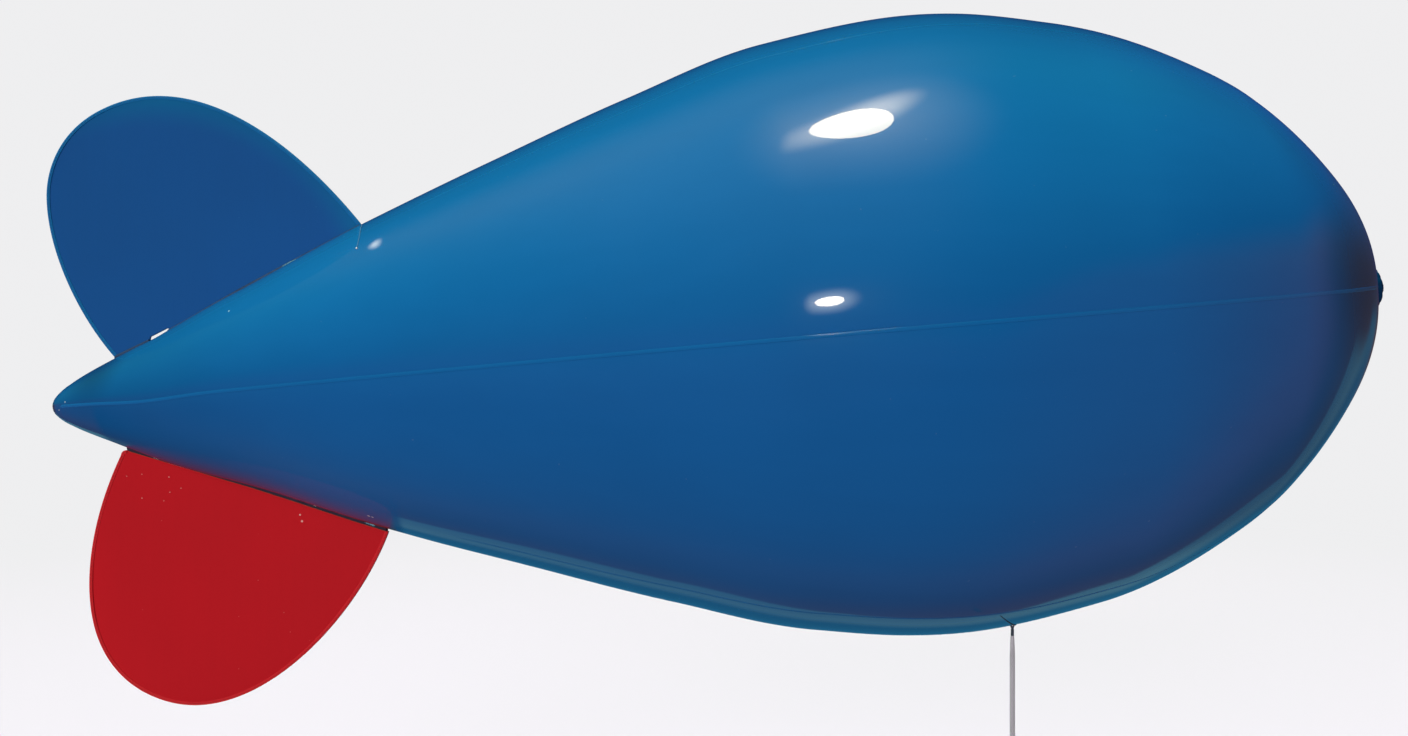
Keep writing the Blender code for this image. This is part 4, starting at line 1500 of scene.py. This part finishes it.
class BLIMP_OT_stage(bpy.types.Operator):
    """Sets the pale floor, the soft lights and the camera"""

    bl_idname = "blimp.stage"
    bl_label = "Stage"

    def execute(self, context):
        self.camera(context.scene)
        self.floor()
        self.world(context.scene)
        self.lights(context.scene.collection)
        return {"FINISHED"}

    def camera(self, scene):
        data = bpy.data.cameras.new("camera")
        data.sensor_width = 36.0
        data.lens = CAMERA_LENS
        data.clip_end = 400.0
        made = link("camera", data)
        made.location = CAMERA_PLACE
        made.rotation_euler = (pi / 2, 0.0, 0.0)
        scene.camera = made
        scene.view_settings.view_transform = "Standard"

    def floor(self):
        """A pale floor that takes a soft shadow near the balloon and runs out into the backdrop."""
        settings = studio()
        pale = tuple(settings.backdrop)
        lit = [sum(max(light[1][2], 0.0) * light[2][i] for light in BROAD_LIGHTS) for i in range(3)]
        paint = [tone / (shine + settings.ambient) for tone, shine in zip(pale, lit)]
        material, board, shader, place = blank("floor_paint")
        for name, value in (("Base Color", (*paint, 1.0)), ("Roughness", 1.0), ("Specular IOR Level", 0.0)):
            shader.inputs[name].default_value = value
        x, y, _ = board.parts(place)
        glow = board.make("ShaderNodeEmission", None, {"Color": pale, "Strength": 1.0})
        clear = board.make("ShaderNodeBsdfTransparent")
        under = board.term("ShaderNodeNewGeometry", output=6)
        last = shader
        for share, other in ((board.step(board.span(x, y), 2.2, 9.0), glow), (under, clear)):
            mixed = board.make("ShaderNodeMixShader", None, {0: share})
            board.tree.links.new(last.outputs[0], mixed.inputs[1])
            board.tree.links.new(other.outputs[0], mixed.inputs[2])
            last = mixed
        board.tree.links.new(last.outputs[0], board.tree.nodes["Material Output"].inputs["Surface"])
        made = bmesh.new()
        bmesh.ops.create_grid(made, x_segments=2, y_segments=2, size=FLOOR_SIZE)
        floor = meshed("floor", made, material)
        floor.data.transform(Matrix.Translation((0, 0, FLOOR_HEIGHT)))
        floor.visible_glossy = False
        floor.visible_diffuse = False
        floor.visible_shadow = False

    def world(self, scene):
        """Pale for the camera, even for matt surfaces, and a shaded dome for what the film mirrors."""
        settings = studio()
        world = bpy.data.worlds.new("studio")
        world.use_nodes = True
        world.cycles.sampling_method = "NONE"
        scene.world = world
        board = Board(world.node_tree)
        for node in list(world.node_tree.nodes):
            world.node_tree.nodes.remove(node)
        x, y, z = board.parts(board.term("ShaderNodeTexCoord"))
        overhead = board.step(x, -0.85, -0.55) * board.step(x, 0.35, -0.15)
        overhead = board.blend(overhead, (0.02, 0.20, 0.16), (0.50, 0.29, 0.06))
        overhead = board.blend(board.step(x, 0.50, 0.72), overhead, (0.02, 0.16, 0.60))
        level = board.blend(board.step(x, 0.55, 0.85), (0.05, 0.20, 0.10), (0.02, 0.10, 0.50))
        sky = board.blend(board.step(z, 0.20, 0.90), level, overhead)
        ground = board.blend(board.step(-z, 0.20, 0.80), (0.17, 0.02, 0.01), (0.21, 0.05, 0.01))
        ground = board.blend(board.step(x, 0.10, 0.80), ground, (0.34, 0.05, 0.02))
        ground = board.blend(board.step(y, 0.15, 0.50), ground, (0.10, 0.03, 0.03))
        fore = board.step(y, 0.57, 0.63) * board.step(x, 0.55, 0.75)
        ground = board.blend(fore, ground, (0.05, 0.13, 0.20))
        border = z - 0.28 * board.step(x, 0.20, 0.80)
        dome = board.blend(board.step(border, -0.10, 0.10), ground, sky)
        behind = board.step(x, 0.30, 0.55) * board.step(z, 0.10, 0.35)
        behind = board.blend(behind, (0.01, 0.03, 0.14), (0.015, 0.065, 0.28))
        dome = board.blend(board.step(y, 0.10, 0.60) * board.step(z, 0.00, 0.10), dome, behind)
        dark = board.step(x, 0.35, 0.95) * board.step(y, -0.10, 0.40) * board.step(z, 0.34, 0.12)
        dark = dark * (1 - fore * board.step(z, 0.06, 0.0))
        dome = board.blend(dark, dome, (0.065, 0.035, 0.008))
        # The pale strip low behind the balloon, which makes the band along its lower edge
        edge = 0.645 + 0.10 * board.least(x, 0.35) - 0.36 * board.most(x - 0.35, 0.0)
        depth = board.step(y + 0.35 * board.most(x - 0.45, 0.0), 0.72, 0.80)
        strip = board.blend(depth, (0.14, 0.34, 0.41), (0.02, 0.15, 0.28))
        strip = board.blend(board.step(x, 0.50, 0.66) * 0.52, strip, (0.03, 0.04, 0.08))
        dome = board.blend(board.step(y - edge, -0.012, 0.012) * board.step(-z, 0.0, 0.1), dome, strip)
        rays = board.make("ShaderNodeLightPath")
        for kind, tone in (("Is Diffuse Ray", [settings.ambient] * 3), ("Is Camera Ray", settings.backdrop)):
            dome = board.blend(Term(board, rays.outputs[kind]), dome, tuple(tone))
        glow = board.term("ShaderNodeBackground", None, {"Color": dome, "Strength": 1.0})
        board.make("ShaderNodeOutputWorld", None, {"Surface": glow})

    def lights(self, collection):
        for name, origin, white, softness in BROAD_LIGHTS:
            data = bpy.data.lights.new(name, "SUN")
            data.energy = pi * max(white)
            data.color = [tone / max(white) for tone in white]
            data.angle = softness
            made = link(name, data)
            made.rotation_euler = Vector(origin).to_track_quat("Z", "Y").to_euler()
            made.visible_glossy = False
        for name, point, mirror, distance, axis, length, width, bright, colour, full in MIRRORED_LAMPS:
            data = bpy.data.lights.new(name, "AREA")
            data.shape = "ELLIPSE"
            data.size = length
            data.size_y = width
            data.energy = bright * pi * (pi / 4 * length * width)
            data.color = colour
            self.soften(data, full)
            made = link(name, data)
            back = Vector(mirror).normalized()
            along = Vector(axis)
            along = (along - back * along.dot(back)).normalized()
            turn = Matrix((along, back.cross(along), back)).transposed().to_4x4()
            made.matrix_world = Matrix.Translation(Vector(point) + back * distance) @ turn
            made.visible_diffuse = False
            made.visible_camera = False

    def soften(self, data, full):
        """Lets a lamp fade towards its rim."""
        data.use_nodes = True
        board = Board(data.node_tree)
        u, v, _ = board.parts(board.term("ShaderNodeNewGeometry", output=5))
        reach = 2.0 * board.span(u - 0.5, v - 0.5)
        board.feed(data.node_tree.nodes["Emission"].inputs["Strength"], board.step(reach, 1.0, full))


class BlimpSettings(bpy.types.PropertyGroup):
    """Sizes, colours and light of the balloon."""

    hull_rows: IntProperty(name="Hull rows", description="Rows of faces along a gore", default=340, min=40)
    gore_columns: IntProperty(name="Gore columns", description="Points across a gore", default=45, min=5)
    gore_swell: FloatProperty(
        name="Gore swell", description="How far a gore swells, against its radius", default=0.012
    )
    ripple: FloatProperty(
        name="Seam ripple", description="Height of the waves beside a seam", default=0.00025, unit="LENGTH"
    )
    ripple_reach: FloatProperty(
        name="Ripple reach", description="How far the waves run from a seam", default=0.022, unit="LENGTH"
    )
    weld_width: FloatProperty(
        name="Weld width", description="Width of a seam's strip", default=0.0078, unit="LENGTH"
    )
    weld_height: FloatProperty(
        name="Weld height", description="Thickness of a seam's strip", default=0.0008, unit="LENGTH"
    )
    braid_pitch: FloatProperty(
        name="Braid pitch", description="Length in which a strand turns once", default=0.042, unit="LENGTH"
    )
    film_ior: FloatProperty(name="Film index", description="How strongly the film mirrors", default=1.30)
    film_coat: FloatProperty(
        name="Film coat", description="Share of the clear coat", default=1.0, min=0.0, max=1.0
    )
    film_sheen: FloatProperty(
        name="Film sheen", description="How far the film shines under its coat", default=0.03
    )
    ambient: FloatProperty(
        name="Ambient", description="Even light from all round on matt surfaces", default=0.03
    )
    film_blue: FloatVectorProperty(
        name="Hull film", description="Colour of the hull", subtype="COLOR", default=(0.0040, 0.097, 0.303)
    )
    weld_blue: FloatVectorProperty(
        name="Weld film", description="Colour of the seams", subtype="COLOR", default=(0.0034, 0.109, 0.319)
    )
    fin_blue: FloatVectorProperty(
        name="Top fin", description="Colour of the top fin", subtype="COLOR", default=(0.0063, 0.0705, 0.250)
    )
    fin_red: FloatVectorProperty(
        name="Bottom fin", description="Colour of the bottom fin", subtype="COLOR",
        default=(0.485, 0.0070, 0.0131)
    )
    rope: FloatVectorProperty(
        name="Rope", description="Colour of the tether's yarn", subtype="COLOR", default=(0.58, 0.545, 0.59)
    )
    backdrop: FloatVectorProperty(
        name="Backdrop", description="Colour behind the balloon", subtype="COLOR", default=(0.86, 0.86, 0.87)
    )


OPERATORS = (
    BLIMP_OT_stage,
    BLIMP_OT_tether,
    BLIMP_OT_envelope,
    BLIMP_OT_welds,
    BLIMP_OT_tail,
    BLIMP_OT_nose,
    BLIMP_OT_fins,
    BLIMP_OT_fin_roots,
    BLIMP_OT_belly,
)


class BLIMP_PT_panel(bpy.types.Panel):
    """The pieces of the balloon and its settings"""

    bl_idname = "BLIMP_PT_panel"
    bl_label = "Advertising blimp"
    bl_space_type = "VIEW_3D"
    bl_region_type = "UI"
    bl_category = "Blimp"

    def draw(self, context):
        for operator in OPERATORS:
            self.layout.operator(operator.bl_idname)
        for name in BlimpSettings.__annotations__:
            self.layout.prop(context.scene.blimp, name)


CLASSES = (BlimpSettings, *OPERATORS, BLIMP_PT_panel)


def register():
    for item in CLASSES:
        bpy.utils.register_class(item)
    bpy.types.Scene.blimp = PointerProperty(type=BlimpSettings)


def unregister():
    del bpy.types.Scene.blimp
    for item in reversed(CLASSES):
        bpy.utils.unregister_class(item)


def main():
    """Builds the balloon on its stage."""
    register()
    for operator in OPERATORS:
        group, name = operator.bl_idname.split(".")
        getattr(getattr(bpy.ops, group), name)()


if __name__ == "__main__":
    main()
